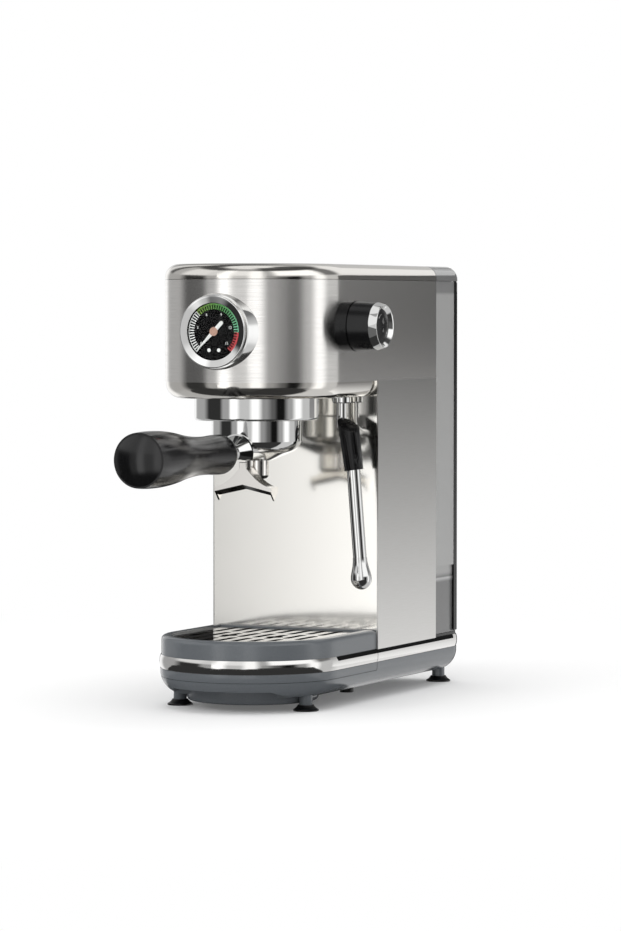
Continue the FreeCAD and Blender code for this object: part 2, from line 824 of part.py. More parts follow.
def grille(front_middle):
    """Thin plate with a turned-down skirt, eight columns of slots and two finger holes."""
    bottom = grille_top - S.grille_sheet - S.grille_skirt
    plate = slab("grille_plate", round_front(grille_radius, front_middle, S.grille_back),
                 bottom, grille_top)
    soften(plate, "grille_edge", S.grille_sheet * 0.6, flat_at(grille_top))
    under = slab("grille_under", round_front(grille_radius - S.grille_sheet, front_middle,
                 S.grille_back - S.grille_sheet), bottom - 1, grille_top - S.grille_sheet)
    tools = [under]
    reach = grille_radius - S.grille_sheet * 3
    for column in range(4):
        x = S.slot_pitch * (column + 0.5)
        stagger = S.slot_bridge * (1 if column % 2 else 0)
        front_limit = front_middle - root(reach * reach - x * x)
        start = S.slot_rear
        for row in range(3):
            stop = start - S.slot_length - (stagger if row == 0 else 0)
            last = row == 2
            tools += slot_pair(f"slot_{column}_{row}", x, start, front_limit if last else stop, bottom)
            start = stop - S.slot_bridge
    for side, x in (("left", -S.slot_pitch * 1.5), ("right", S.slot_pitch * 1.5)):
        tools.append(cylinder(f"finger_hole_{side}", S.finger_radius,
                              S.grille_sheet * 2 + S.grille_skirt, at=(x, S.finger_y, bottom)))
    return cut("drip_grille", plate, *tools)


def slot_pair(name, x, start, stop, bottom):
    """The same round-ended slot on both sides of the mid-plane."""
    bend = S.slot_width / 2
    slots = []
    for side, middle in (("left", -x), ("right", x)):
        low, high = middle - bend, middle + bend
        slots.append(slab(f"{name}_{side}", [(low, stop + bend), (middle, stop, bend),
                          (high, stop + bend, bend), (high, start - bend), (middle, start, bend),
                          (low, start - bend, bend)], bottom, grille_top + 1))
    return slots


# Column: polished front panel, side sheets, back wall and the bent chassis inside

def column():
    piece("front_panel", box("front_panel", (-panel_half, 0, deck), (panel_half, S.sheet, head_seam)))
    side = slab("column_side_sheet", [(panel_half, 0), (half, 0), (half, S.column_depth),
                (half - S.side_fold, S.column_depth), (half - S.side_fold, S.column_depth - S.sheet),
                (panel_half, S.column_depth - S.sheet)], deck, head_seam)
    piece("column_side_left", mirrored("column_side_left", side))
    piece("column_side_right", group("column_side_right", side))
    wall_front = S.column_depth - S.sheet - S.back_wall
    wall = box("back_wall_blank", (-panel_half, wall_front, deck),
               (panel_half, S.column_depth - S.sheet, head_top))
    screw_holes = []
    screws = []
    screw_x = half - S.side_fold - S.screw_radius * 2 - 1
    for side_name, x in (("left", -screw_x), ("right", screw_x)):
        for height_name, z in (("low", S.screw_low_z), ("high", head_top - S.screw_drop)):
            name = f"{height_name}_{side_name}"
            screw_holes.append(cylinder("screw_hole_" + name, S.screw_radius + S.slide_gap,
                               S.back_wall * 3, at=(x, wall_front - S.back_wall, z), turn=ALONG_Y))
            screws.append(turned("screw_" + name, [(0, 0), (S.screw_radius, 0),
                          (S.screw_radius, S.back_wall), (S.screw_radius * 2, S.back_wall),
                          (S.screw_radius * 2, S.back_wall + 0.8),
                          (S.screw_radius, S.back_wall + 1.4), (0, S.back_wall + 1.4)],
                          at=(x, wall_front, z), turn=ALONG_Y))
    piece("back_wall", cut("back_wall", wall, *screw_holes))
    piece("panel_screws", group("panel_screws", *screws))

    plate = box("chassis_plate", (-chassis_half, S.sheet + S.slide_gap, deck),
                (chassis_half, wall_front - S.slide_gap, deck + S.chassis_sheet))
    bracket = box("chassis_bracket", (-S.bracket_half, S.bracket_y, deck),
                  (S.bracket_half, S.bracket_y + S.chassis_sheet, head_bottom - S.bracket_drop))
    hose_hole = cylinder("chassis_hose_hole", S.hose_radius + 1, S.chassis_sheet + 2,
                         at=(S.pump_x, S.pump_y, deck - 1))
    piece("chassis", cut("chassis", fuse("chassis_blank", plate, bracket), hose_hole))


# Head: brushed band, chrome floor dish and lid

def head():
    outer = slab("head_outer", round_front(half, head_y, S.column_depth), head_seam, head_top)
    inner = slab("head_inner", round_front(panel_half, head_y, S.column_depth + 1),
                 head_seam - 1, head_top + 1)
    gauge_hole = cylinder("head_gauge_hole", S.gauge_glass_radius + S.seam, S.sheet * 12,
                          at=(0, S.sheet * 6 - S.head_reach, gauge_z), turn=ALONG_BACK)
    knob_hole = cylinder("head_knob_hole", S.knob_shaft_radius + S.seam, S.sheet * 6,
                         at=(half - S.sheet * 4, S.knob_y, knob_z), turn=ALONG_X)
    piece("head_band", cut("head_band", outer, inner, gauge_hole, knob_hole))

    back = -S.seam
    dish_half = half - S.floor_inset
    outer = slab("floor_outer", round_front(dish_half, head_y, back), head_bottom, head_seam)
    soften(outer, "floor_rear_corners", S.floor_round, upright_at(back))
    soften(outer, "floor_bottom_round", S.floor_round, flat_at(head_bottom))
    inner_round = S.floor_round - S.head_wall
    inner = slab("floor_inner", round_front(dish_half - S.head_wall, head_y, back - S.head_wall),
                 head_bottom + S.head_wall, head_seam + inner_round)
    soften(inner, "floor_inner_corners", inner_round, upright_at(back - S.head_wall))
    soften(inner, "floor_inner_round", inner_round, flat_at(head_bottom + S.head_wall))
    group_hole = cylinder("floor_group_hole", S.brew_flange + S.slide_gap * 2, S.head_wall + 2,
                          at=(0, S.group_y, head_bottom - 1))
    pipe_hole = cylinder("floor_pipe_hole", sleeve_radius + S.slide_gap, S.head_floor_depth,
                         at=(S.pipe_x, S.pipe_y, head_bottom - 1))
    piece("head_floor", cut("head_floor", outer, inner, group_hole, pipe_hole))

    bottom = head_top + S.seam
    outer = slab("lid_outer", round_front(half, head_y, S.column_depth), bottom, S.machine_height)
    soften(outer, "lid_round", S.lid_round, rim_at(S.machine_height, S.column_depth))
    inner_back = S.column_depth - S.head_wall
    inner_top = S.machine_height - S.head_wall
    inner = slab("lid_inner", round_front(half - S.head_wall, head_y, inner_back),
                 bottom - S.lid_height, inner_top)
    soften(inner, "lid_inner_round", S.lid_round - S.head_wall, rim_at(inner_top, inner_back))
    piece("head_lid", cut("head_lid", outer, inner))


# Pressure gauge in the rounded front of the head

def gauge():
    at = (0, -S.head_reach, gauge_z)
    bezel_back = S.gauge_front - S.gauge_bezel_depth
    skirt = turned("gauge_skirt", [(S.gauge_glass_radius, -S.gauge_skirt_depth),
                   (S.gauge_flange_radius, -S.gauge_skirt_depth),
                   (S.gauge_bezel_radius + 0.5, bezel_back), (S.gauge_glass_radius, bezel_back)],
                   at=at, turn=ALONG_BACK)
    body = slab("gauge_head_shape", round_front(half + S.slide_gap / 2, head_y, 0), head_seam, head_top)
    piece("gauge_housing", cut("gauge_housing", skirt, body))
    rim = S.gauge_rim
    sight_front = S.gauge_front - S.gauge_dish
    lens_front = sight_front - S.gauge_lip
    bezel = turned("gauge_bezel", [(S.gauge_glass_radius, bezel_back),
                   (S.gauge_bezel_radius, bezel_back), (S.gauge_bezel_radius, S.gauge_front - rim),
                   (S.gauge_bezel_radius - rim, S.gauge_front, rim),
                   (S.gauge_bezel_radius - rim * 2, S.gauge_front - rim / 4),
                   (S.gauge_sight, sight_front), (S.gauge_sight, lens_front),
                   (S.gauge_glass_radius, lens_front)], at=at, turn=ALONG_BACK)
    piece("gauge_bezel", bezel)
    lens = cylinder("gauge_lens", S.gauge_glass_radius - S.slide_gap, S.gauge_glass,
                    at=(0, -S.head_reach - lens_front + S.gauge_glass, gauge_z), turn=ALONG_BACK)
    piece("gauge_lens", lens)
    dial_radius = S.gauge_glass_radius - S.slide_gap * 2
    bore = S.needle_pin + S.slide_gap
    dial = turned("gauge_dial", [(bore, -S.gauge_dial), (dial_radius, -S.gauge_dial),
                  (dial_radius, 0), (bore, 0)], at=(0, dial_y, gauge_z), turn=ALONG_BACK)
    piece("gauge_dial", dial)
    can = turned("gauge_can", [(bore, -S.gauge_can_depth), (S.gauge_can_radius, -S.gauge_can_depth),
                 (S.gauge_can_radius, -S.gauge_dial), (bore, -S.gauge_dial)],
                 at=(0, dial_y, gauge_z), turn=ALONG_BACK)
    piece("gauge_can", can)
    low = S.needle_gap
    high = low + S.needle_sheet
    crown = high + S.slide_gap
    hub = turned("needle_hub", [(0, -S.needle_shaft), (S.needle_pin, -S.needle_shaft),
                 (S.needle_pin, low), (S.needle_hub, low), (S.needle_hub, high),
                 (S.needle_hub - S.slide_gap * 3, crown), (0, crown)], at=(0, dial_y, gauge_z),
                 turn=ALONG_BACK)
    half_width = S.needle_half
    blade = slab("needle_blade", [(0, -half_width), (S.needle_length, -S.needle_point),
                 (S.needle_length, S.needle_point), (0, half_width),
                 (-S.needle_tail, half_width), (-S.needle_tail - half_width, 0, half_width),
                 (-S.needle_tail, -half_width, half_width)], 0, S.needle_sheet)
    zero_mark = Rotation(Vector(0, 1, 0), 135)
    stand(blade, (0, dial_y - low, gauge_z), zero_mark.multiply(Rotation(Vector(1, 0, 0), 90)))
    piece("gauge_needle", fuse("gauge_needle", hub, blade))


# Selector knob on the right side

def frustum(name, sides, low_radius, high_radius, height, at, turn):
    """Faceted cone frustum, a ruled surface between two regular polygons."""
    rings = []
    for end, radius, lift in (("low", low_radius, 0.0), ("high", high_radius, height)):
        ring = doc.addObject("Part::RegularPolygon", f"{name}_{end}")
        ring.Polygon = sides
        bind(ring, "Circumradius", radius)
        stand(ring, (0, 0, lift))
        rings.append(ring)
    item = doc.addObject("Part::Loft", name)
    item.Sections = rings
    item.Solid = True
    item.Ruled = True
    return stand(item, at, turn)


def knob():
    at = (half, S.knob_y, knob_z)
    collar = cylinder("collar_blank", S.knob_radius, S.knob_collar + half - S.collar_root,
                      at=(S.collar_root, S.knob_y, knob_z), turn=ALONG_X)
    body = slab("collar_head_shape", round_front(half, head_y, S.column_depth), head_seam, head_top)
    bore = cylinder("collar_bore", S.knob_shaft_radius + S.slide_gap, S.knob_collar + half,
                    at=(0, S.knob_y, knob_z), turn=ALONG_X)
    piece("knob_collar", cut("knob_collar", collar, body, bore))
    start = S.knob_collar + S.slide_gap * 2
    ring_start = start + S.knob_barrel
    groove = S.knob_groove
    barrel_radius = S.knob_radius - groove / 2
    face_edge = S.knob_reach - S.knob_dish
    face_rise = S.knob_dish / 2
    face_bend = (S.knob_face * S.knob_face + face_rise * face_rise) / (face_rise * 2)
    barrel = turned("barrel_blank", [(0, start), (barrel_radius - groove, start),
                    (barrel_radius - groove, start + groove), (barrel_radius, start + groove),
                    (S.knob_rim - groove, ring_start), (S.knob_face, ring_start),
                    (S.knob_face, face_edge), (0, face_edge + face_rise, face_bend)],
                    at=at, turn=ALONG_X)
    shaft_end = S.knob_barrel * 0.8
    bore = cylinder("knob_bore", S.knob_shaft_radius, shaft_end,
                    at=(half + start - 1, S.knob_y, knob_z), turn=ALONG_X)
    piece("knob_barrel", cut("knob_barrel", barrel, bore))
    lip = S.knob_groove
    ring = turned("ring_blank", [(S.knob_face, ring_start), (S.knob_rim - lip, ring_start),
                  (S.knob_rim, ring_start + lip), (S.knob_front, S.knob_reach - lip),
                  (S.knob_front - lip, S.knob_reach, lip), (S.knob_front - lip * 2,
                  S.knob_reach - lip / 2), (S.knob_face, face_edge)], at=at, turn=ALONG_X)
    margin = S.slide_gap * 2
    facets = frustum("ring_facets", 12, S.knob_rim + margin, S.knob_front + margin,
                     S.knob_reach - ring_start, at=(half + ring_start, S.knob_y, knob_z), turn=ALONG_X)
    piece("knob_ring", common("knob_ring", ring, facets))
    shaft_start = S.switch_x + 8
    shaft = cylinder("knob_shaft", S.knob_shaft_radius, half + start - 1 + shaft_end - shaft_start,
                     at=(shaft_start, S.knob_y, knob_z), turn=ALONG_X)
    piece("knob_shaft", shaft)
    switch_end = panel_half - S.seam
    switch = box("switch_body", (S.switch_x, S.knob_y - S.switch_half, knob_z - S.switch_half),
                 (switch_end - 5, S.knob_y + S.switch_half, knob_z + S.switch_half))
    nose = cylinder("switch_nose", S.switch_half * 0.6, 5,
                    at=(switch_end - 5, S.knob_y, knob_z), turn=ALONG_X)
    bore = cylinder("switch_bore", S.knob_shaft_radius + S.slide_gap, switch_end - shaft_start + 2,
                    at=(shaft_start - S.slide_gap, S.knob_y, knob_z), turn=ALONG_X)
    piece("selector_switch", cut("selector_switch", fuse("switch_blank", switch, nose), bore))


# Brew group under the head

def brew_group():
    at = (0, S.group_y, 0)
    step = 1.8
    ring = turned("group_blank", [(S.bowl_radius + S.fit_gap, ring_bottom),
                  (S.ring_radius - step, ring_bottom), (S.ring_radius, ring_bottom + step, step),
                  (S.ring_radius, head_bottom), (gasket_outer + S.slide_gap, head_bottom),
                  (gasket_outer + S.slide_gap, gasket_bottom), (chamber_radius, gasket_bottom),
                  (chamber_radius, flange_top), (S.bowl_radius + S.fit_gap, flange_top)], at=at)
    slot_half = S.ear_width / 2 + S.fit_gap * 2
    slot = slab("group_slot_shape", plan_box(chamber_radius * 1.2, -slot_half, slot_half),
                ring_bottom - 1, flange_top + S.slide_gap)
    stand(slot, at, Rotation(Vector(0, 0, 1), -S.lock_turn.value))
    reach = cylinder("group_slot_reach", chamber_radius, flange_top, at=(0, S.group_y, 0))
    entry = common("group_entry", slot, reach)
    piece("group_ring", cut("group_ring", ring, entry))
    brew = turned("brew_head", [(0, rim_top - S.brew_drop), (gasket_inner - S.slide_gap,
                  rim_top - S.brew_drop), (gasket_inner - S.slide_gap, head_bottom),
                  (S.brew_flange, head_bottom), (S.brew_flange, brew_top), (0, brew_top)], at=at)
    piece("brew_head", brew)
    seal = turned("group_gasket", [(gasket_inner, gasket_bottom), (gasket_outer, gasket_bottom),
                  (gasket_outer, head_bottom), (gasket_inner, head_bottom)], at=at)
    piece("group_gasket", seal)
    screen_top = rim_top - S.brew_drop
    screen = turned("shower_screen", [(0, screen_top - S.screen_thickness),
                    (S.screen_radius - 1.2, screen_top - S.screen_thickness),
                    (S.screen_radius, screen_top, 1.2), (0, screen_top)], at=at)
    piece("shower_screen", screen)
    screw_top = screen_top - S.screen_thickness
    screw = turned("shower_screw", [(0, screw_top - 1.4), (2.4, screw_top - 1.4),
                   (4, screw_top, 3), (0, screw_top)], at=at)
    piece("shower_screw", screw)


# Portafilter: bowl with neck, basket, turned grip and double spout

def portafilter():
    at = (0, S.group_y, 0)
    inner = S.bowl_radius - S.bowl_wall
    shoulder_radius = S.bowl_radius - S.shoulder_step
    outer = turned("bowl_outer", [(0, spout_seat), (S.outlet_radius - S.outlet_wall, spout_seat),
                   (S.outlet_radius - S.outlet_wall, bowl_floor),
                   (S.outlet_radius + 2.6, bowl_floor), (shoulder_radius, bowl_floor + 5.4),
                   (S.bowl_radius, bowl_shoulder, S.bowl_round), (S.bowl_radius, bowl_top),
                   (0, bowl_top)],
                   at=at)
    ears = common("bowl_ears", cylinder("ears_disc", S.bowl_radius + S.ear_reach, S.ear_height,
                  at=(0, S.group_y, bowl_top - S.ear_height)),
                  box("ears_width", (-half, S.group_y - S.ear_width / 2, bowl_top - S.ear_height),
                      (half, S.group_y + S.ear_width / 2, bowl_top)))
    root_y = S.group_y - S.bowl_radius / 2
    root = cylinder("neck_root", S.flare_radius, root_y - flare_y, at=(0, root_y, handle_z),
                    turn=ALONG_BACK)
    flare = cone("neck_flare", S.flare_radius - S.flare_rim, S.ferrule_radius, S.flare_length,
                 at=(0, flare_y, handle_z), turn=ALONG_BACK)
    ferrule_y = flare_y - S.flare_length
    under = box("neck_under", (-half, ferrule_y, bowl_floor - S.flare_radius),
                (half, root_y + 1, bowl_floor + S.flare_cut))
    neck = cut("neck", fuse("neck_blank", root, flare), under)
    ferrule = cylinder("neck_ferrule", S.ferrule_radius, ferrule_y - S.grip_start,
                       at=(0, ferrule_y, handle_z), turn=ALONG_BACK)
    stud = cylinder("neck_stud", S.stud_radius, S.stud_length,
                    at=(0, S.grip_start, handle_z), turn=ALONG_BACK)
    cavity = turned("bowl_cavity", [(0, spout_seat - 1), (S.outlet_bore, spout_seat - 1),
                    (S.outlet_bore, bowl_floor + 2.3), (S.outlet_radius, bowl_floor + 3.4),
                    (shoulder_radius - 1.6, bowl_floor + 8.6),
                    (inner, bowl_shoulder + 1.2, S.bowl_inner_round),
                    (inner, bowl_top + 1), (0, bowl_top + 1)], at=at)
    blank = fuse("bowl_blank", outer, ears, neck, ferrule, stud)
    piece("portafilter_bowl", cut("portafilter_bowl", blank, cavity))

    basket_outer = inner - S.seam
    basket_bottom = bowl_top - S.basket_depth
    basket_rim = gasket_outer - S.basket_wall
    basket = turned("filter_basket", [(0, basket_bottom), (basket_outer - 3, basket_bottom),
                    (basket_outer, basket_bottom + 3, 3), (basket_outer, bowl_top),
                    (basket_rim, bowl_top), (basket_rim, rim_top), (basket_outer - S.basket_wall,
                    rim_top), (basket_outer - S.basket_wall, basket_bottom + 3),
                    (basket_outer - 3, basket_bottom + S.basket_wall, -(3 - S.basket_wall)),
                    (0, basket_bottom + S.basket_wall)], at=at)
    piece("filter_basket", basket)

    length = S.grip_start - S.grip_end
    waist = (S.grip_shoulder_at + S.grip_waist_at) / 2
    waist_radius = (S.grip_shoulder + S.grip_waist) / 2
    swell = S.grip_waist_at + (S.grip_belly_at - S.grip_waist_at) * 0.53
    swell_radius = S.grip_waist + (S.grip_belly - S.grip_waist) * 0.53
    bore = S.stud_radius + S.slide_gap / 2
    grip = turned("portafilter_handle", [(bore, 0), (S.grip_collar - 1.6, 0), (S.grip_collar, 1.6),
                  (S.grip_shoulder, S.grip_shoulder_at, S.grip_bend_start),
                  (waist_radius, waist, S.grip_bend_waist),
                  (S.grip_waist, S.grip_waist_at, -S.grip_bend_waist),
                  (swell_radius, swell, -S.grip_bend_swell),
                  (S.grip_belly, S.grip_belly_at, S.grip_bend_belly),
                  (S.grip_end_radius, length, S.grip_bend_end),
                  (S.grip_end_radius - S.cap_lip, length), (S.grip_end_radius - S.cap_lip,
                  length - S.cap_seat), (bore, length - S.cap_seat)],
                  at=(0, S.grip_start, handle_z), turn=ALONG_BACK)
    piece("portafilter_handle", grip)
    cap_radius = S.grip_end_radius - S.cap_lip - S.slide_gap
    dome = S.cap_dome
    bulge = (cap_radius * cap_radius + dome * dome) / (dome * 2)
    cap = turned("handle_cap", [(0, 0), (cap_radius, 0), (cap_radius, S.cap_seat),
                 (0, S.cap_seat + dome, bulge)],
                 at=(0, S.grip_end + S.cap_seat, handle_z), turn=ALONG_BACK)
    piece("handle_cap", cap)
    double_spout()


def double_spout():
    """Two open troughs with a ridged underside and pointed outlets, joined to a cup on the bowl."""
    front = -S.spout_front
    back = front - S.spout_depth
    middle_y = S.spout_front + S.spout_depth / 2
    ridge = bowl_floor - S.spout_drop
    end_low = ridge - S.spout_end_drop
    end_top = ridge + S.spout_end_rise
    tip = ridge - S.spout_tip_drop
    apex = ridge + S.spout_height
    flare = ridge + S.spout_flare_rise
    roof = slab("spout_roof", [(-S.spout_half, end_low), (0, ridge), (S.spout_half, end_low),
                (S.spout_half, end_top), (S.spout_flare, flare), (S.spout_tab / 2, apex),
                (-S.spout_tab / 2, apex), (-S.spout_flare, flare), (-S.spout_half, end_top)],
                back, front, plane="XZ_Plane")
    doc.recompute()
    under = [f"Edge{number}" for number, edge in enumerate(roof.Shape.Edges, start=1)
             if edge.BoundBox.YLength < 0.01 and edge.BoundBox.ZMax < ridge.value + 0.01
             and edge.BoundBox.XLength > S.spout_half.value / 2]
    carrier = roof.Tip
    bevel = roof.newObject("PartDesign::Chamfer", "spout_bevel")
    bevel.Base = (carrier, under)
    bevel.ChamferType = "Two distances"
    bind(bevel, "Size", S.spout_bevel)
    bind(bevel, "Size2", S.spout_depth / 2 - 0.2)
    roof.Tip = bevel
    wall = S.spout_wall
    edge_z = end_low + S.spout_bevel
    outlet = slab("spout_outlet_outline", [(S.spout_inner_x, end_low), (S.spout_tip_x, tip),
                  (S.spout_half, end_low), (S.spout_half, edge_z), (S.spout_inner_x, edge_z)],
                  back, front, plane="XZ_Plane")
    wedge = slab("spout_outlet_wedge", [(S.spout_front, edge_z), (middle_y, tip - 0.2), (-back, edge_z)],
                 0, half, plane="YZ_Plane")
    right = common("spout_outlet_right", outlet, wedge)
    left = mirrored("spout_outlet_left", right)
    trough_x = S.spout_half - wall
    trough_end = end_low + S.spout_floor * 0.9
    trough = slab("spout_trough", [(-trough_x, trough_end), (0, ridge + S.spout_floor),
                  (trough_x, trough_end), (trough_x, apex + 1), (-trough_x, apex + 1)],
                  back + wall, front - wall, plane="XZ_Plane")
    holes = [cylinder(f"spout_hole_{side}", S.spout_hole, trough_end - tip + 2,
                      at=(x, middle_y, tip - 1))
             for side, x in (("left", -S.spout_hole_x), ("right", S.spout_hole_x))]
    tab = box("spout_front_tab", (-S.spout_tab / 2, S.spout_front, apex - 1),
              (S.spout_tab / 2, S.spout_front + wall, ridge + S.spout_tab_rise))
    cup_floor = bowl_floor - S.spout_cup
    cup = cylinder("spout_cup", S.outlet_radius, bowl_floor - S.slide_gap * 2 - cup_floor,
                   at=(0, S.group_y, cup_floor))
    bridge = box("spout_bridge", (-S.spout_tab, -back - wall / 2, cup_floor),
                 (S.spout_tab, S.group_y - S.outlet_radius / 2, cup_floor + S.spout_bridge))
    socket = cylinder("spout_socket", S.outlet_radius - S.outlet_wall + S.slide_gap, S.outlet_length + 2,
                      at=(0, S.group_y, spout_seat - S.slide_gap))
    pocket = cylinder("spout_pocket", S.outlet_bore, S.spout_cup + 2,
                      at=(0, S.group_y, cup_floor + wall))
    duct = cylinder("spout_duct", S.spout_duct, S.group_y - middle_y,
                    at=(0, S.group_y, cup_floor + wall + 2), turn=ALONG_BACK)
    arms = cut("spout_arms", fuse("spout_blank", roof, left, right), trough, *holes)
    body = fuse("spout_body", arms, tab, cup, bridge)
    piece("double_spout", cut("double_spout", body, socket, pocket, duct))


# Steam wand that swivels about its vertical pipe

def steam():
    axis = (S.pipe_x, S.pipe_y, 0)
    bore = S.pipe_radius + S.slide_gap
    sleeve = sleeve_radius
    nut_bottom = head_bottom - S.nut_height
    nut = turned("steam_nut", [(bore, nut_bottom), (S.nut_radius - 0.8, nut_bottom),
                 (S.nut_radius, nut_bottom + 0.8), (S.nut_radius, head_bottom),
                 (sleeve, head_bottom), (sleeve, sleeve_top), (0, sleeve_top),
                 (0, sleeve_top - 1.8), (bore, sleeve_top - 1.8)], at=axis)
    piece("steam_nut", nut)
    mid = grip_top_z - S.pipe_entry
    slope = (S.wand_x - S.grip_x) / (grip_top_z - wand_top_z)
    entry = (S.grip_x + slope * S.pipe_entry, S.grip_y, mid)
    pipe = tube("steam_pipe", [(S.pipe_x, S.pipe_y, sleeve_top - 2), (S.pipe_x, S.pipe_y,
                pipe_turn_z), entry], S.pipe_radius, S.pipe_bend)
    piece("steam_pipe", pipe)

    top = (S.grip_x, S.grip_y, grip_top_z)
    reach = Vector(S.wand_x.value - S.grip_x.value, 0, wand_top_z.value - grip_top_z.value)
    lean = Rotation(Vector(0, 0, 1), reach)
    length = root((S.wand_x - S.grip_x) * (S.wand_x - S.grip_x)
                  + (grip_top_z - wand_top_z) * (grip_top_z - wand_top_z))
    sleeve_body = turned("steam_grip_blank", [(0, 0), (S.steam_grip_top - 1.5, 0),
                         (S.steam_grip_top, 1.5, 1.5), (S.steam_grip_end, length - 1.2),
                         (S.steam_grip_end - 1.2, length, 1.2), (0, length)], at=top, turn=lean)
    run = (S.wand_end_x - S.wand_x) / (wand_top_z - wand_end_z)
    start = (S.wand_x - run * S.wand_seat, S.grip_y, wand_top_z + S.wand_seat)
    end = (S.wand_end_x, S.grip_y, wand_end_z)
    fit = S.slide_gap / 2
    pipe_seat = rod("grip_pipe_seat", S.pipe_radius + fit, (S.pipe_x, S.pipe_y, pipe_turn_z), entry)
    wand_seat = rod("grip_wand_seat", S.wand_radius + fit, start, end)
    piece("steam_grip", cut("steam_grip", sleeve_body, pipe_seat, wand_seat))
    piece("steam_wand", rod("steam_wand", S.wand_radius, start, end))
    aim = Rotation(Vector(0, 0, 1), Vector(S.wand_end_x.value - S.wand_x.value, 0,
                                           wand_end_z.value - wand_top_z.value))
    tip = turned("steam_tip", [(0, 0), (S.wand_radius - 0.9, 0), (S.wand_radius - 0.9, 2),
                 (S.tip_radius, S.tip_length * 0.68, -20), (S.tip_radius * 0.55,
                 S.tip_length - 0.6, 6.4), (0, S.tip_length)], at=end, turn=aim)
    piece("steam_tip", tip)


# Water tank behind the column, with its rear panel, lid and valve

def tank():
    body_half = half - S.tank_inset
    low = slab("tank_low", plan_box(low_half, tank_front, tank_back), tank_bottom, head_top)
    soften(low, "tank_low_corners", S.rear_round - S.tank_step, upright_at(tank_back))
    front = slab("tank_shoulder", plan_box(body_half, tank_front, panel_start - S.seam),
                 S.tank_step_z, head_top)
    cavity_back = tank_back - S.tank_wall
    cavity = slab("tank_cavity", plan_box(low_half - S.tank_wall, tank_front + S.tank_wall,
                  cavity_back), tank_bottom + S.tank_wall, head_top + 1)
    soften(cavity, "tank_cavity_corners", S.rear_round - S.tank_step - S.tank_wall,
           upright_at(cavity_back))
    spigot = cylinder("tank_spigot", S.spigot_radius, S.spigot_length + S.tank_wall,
                      at=(0, socket_y, tank_bottom - S.spigot_length))
    mouth = cylinder("tank_spigot_bore", S.valve_radius + 1, S.spigot_length,
                     at=(0, socket_y, tank_bottom - S.spigot_length))
    seat = cylinder("tank_valve_seat", S.valve_stem + 1, S.tank_wall + 2,
                    at=(0, socket_y, tank_bottom - 1))
    hollow = cut("tank_hollow", fuse("tank_blank", low, front), cavity)
    piece("water_tank", cut("water_tank", fuse("tank_body", hollow, spigot), mouth, seat))

    floor_top = tank_bottom + S.tank_wall
    valve = turned("tank_valve", [(0, floor_top - 5.4), (S.valve_stem, floor_top - 5.4),
                   (S.valve_stem, floor_top + S.slide_gap), (S.valve_radius, floor_top
                   + S.slide_gap), (S.valve_radius, floor_top + 1.3), (0, floor_top + 2.4)],
                   at=(0, socket_y, 0))
    piece("tank_valve", valve)

    panel = slab("panel_outer", plan_box(body_half, panel_start, rear), panel_bottom, panel_top)
    soften(panel, "panel_outer_corners", S.rear_round - S.tank_inset, upright_at(rear))
    inner_back = tank_back + S.slide_gap
    inner = slab("panel_inner", plan_box(low_half + S.slide_gap, panel_start - 1, inner_back),
                 panel_bottom - 1, panel_top + 1)
    soften(inner, "panel_inner_corners", S.rear_round - S.tank_step + S.slide_gap,
           upright_at(inner_back))
    piece("tank_back_panel", cut("tank_back_panel", panel, inner))

    bottom = head_top + S.seam
    outer = slab("tank_lid_outer", plan_box(half, tank_front, rear), bottom, S.machine_height)
    soften(outer, "tank_lid_corners", S.rear_round, upright_at(rear))
    soften(outer, "tank_lid_round", S.lid_round, rim_at(S.machine_height, tank_front))
    roof = S.machine_height - S.head_wall
    inner = slab("tank_lid_inner", plan_box(half - S.head_wall, tank_front + S.head_wall,
                 rear - S.head_wall), bottom - 1, roof)
    soften(inner, "tank_lid_inner_corners", S.rear_round - S.head_wall,
           upright_at(rear - S.head_wall))
    soften(inner, "tank_lid_inner_round", S.lid_round - S.head_wall, rim_at(roof, tank_front + S.head_wall))
    plug_half = low_half - S.tank_wall - S.seam
    plug_front = tank_front + S.tank_wall + S.seam
    plug_back = cavity_back - S.seam
    plug_round = S.rear_round - S.tank_step - S.tank_wall - S.seam
    plug = slab("plug_outer", plan_box(plug_half, plug_front, plug_back), head_top - S.plug_depth,
                roof + 0.4)
    soften(plug, "plug_outer_corners", plug_round, upright_at(plug_back))
    core = slab("plug_core", plan_box(plug_half - S.head_wall, plug_front + S.head_wall,
                plug_back - S.head_wall), head_top - S.plug_depth - 1, roof)
    soften(core, "plug_core_corners", plug_round - S.head_wall, upright_at(plug_back - S.head_wall))
    skirt = cut("plug_skirt", plug, core)
    piece("tank_lid", fuse("tank_lid", cut("tank_lid_shell", outer, inner), skirt))

    socket = turned("socket_blank", [(0, pan_floor), (S.socket_radius, pan_floor),
                    (S.socket_radius, plate_top - S.slide_gap),
                    (S.spigot_radius + S.slide_gap, plate_top - S.slide_gap),
                    (S.spigot_radius + S.slide_gap, socket_floor), (0, socket_floor)],
                    at=(0, socket_y, 0))
    drop = cylinder("socket_drop", S.hose_radius - 1, socket_floor - hose_z + 1,
                    at=(0, socket_y, hose_z))
    outlet = cylinder("socket_outlet", S.hose_radius - 1, S.socket_radius + 1,
                      at=(0, socket_y, hose_z), turn=ALONG_BACK)
    piece("valve_socket", cut("valve_socket", socket, drop, outlet))


# Inside: pump, heater, control board and their tubes

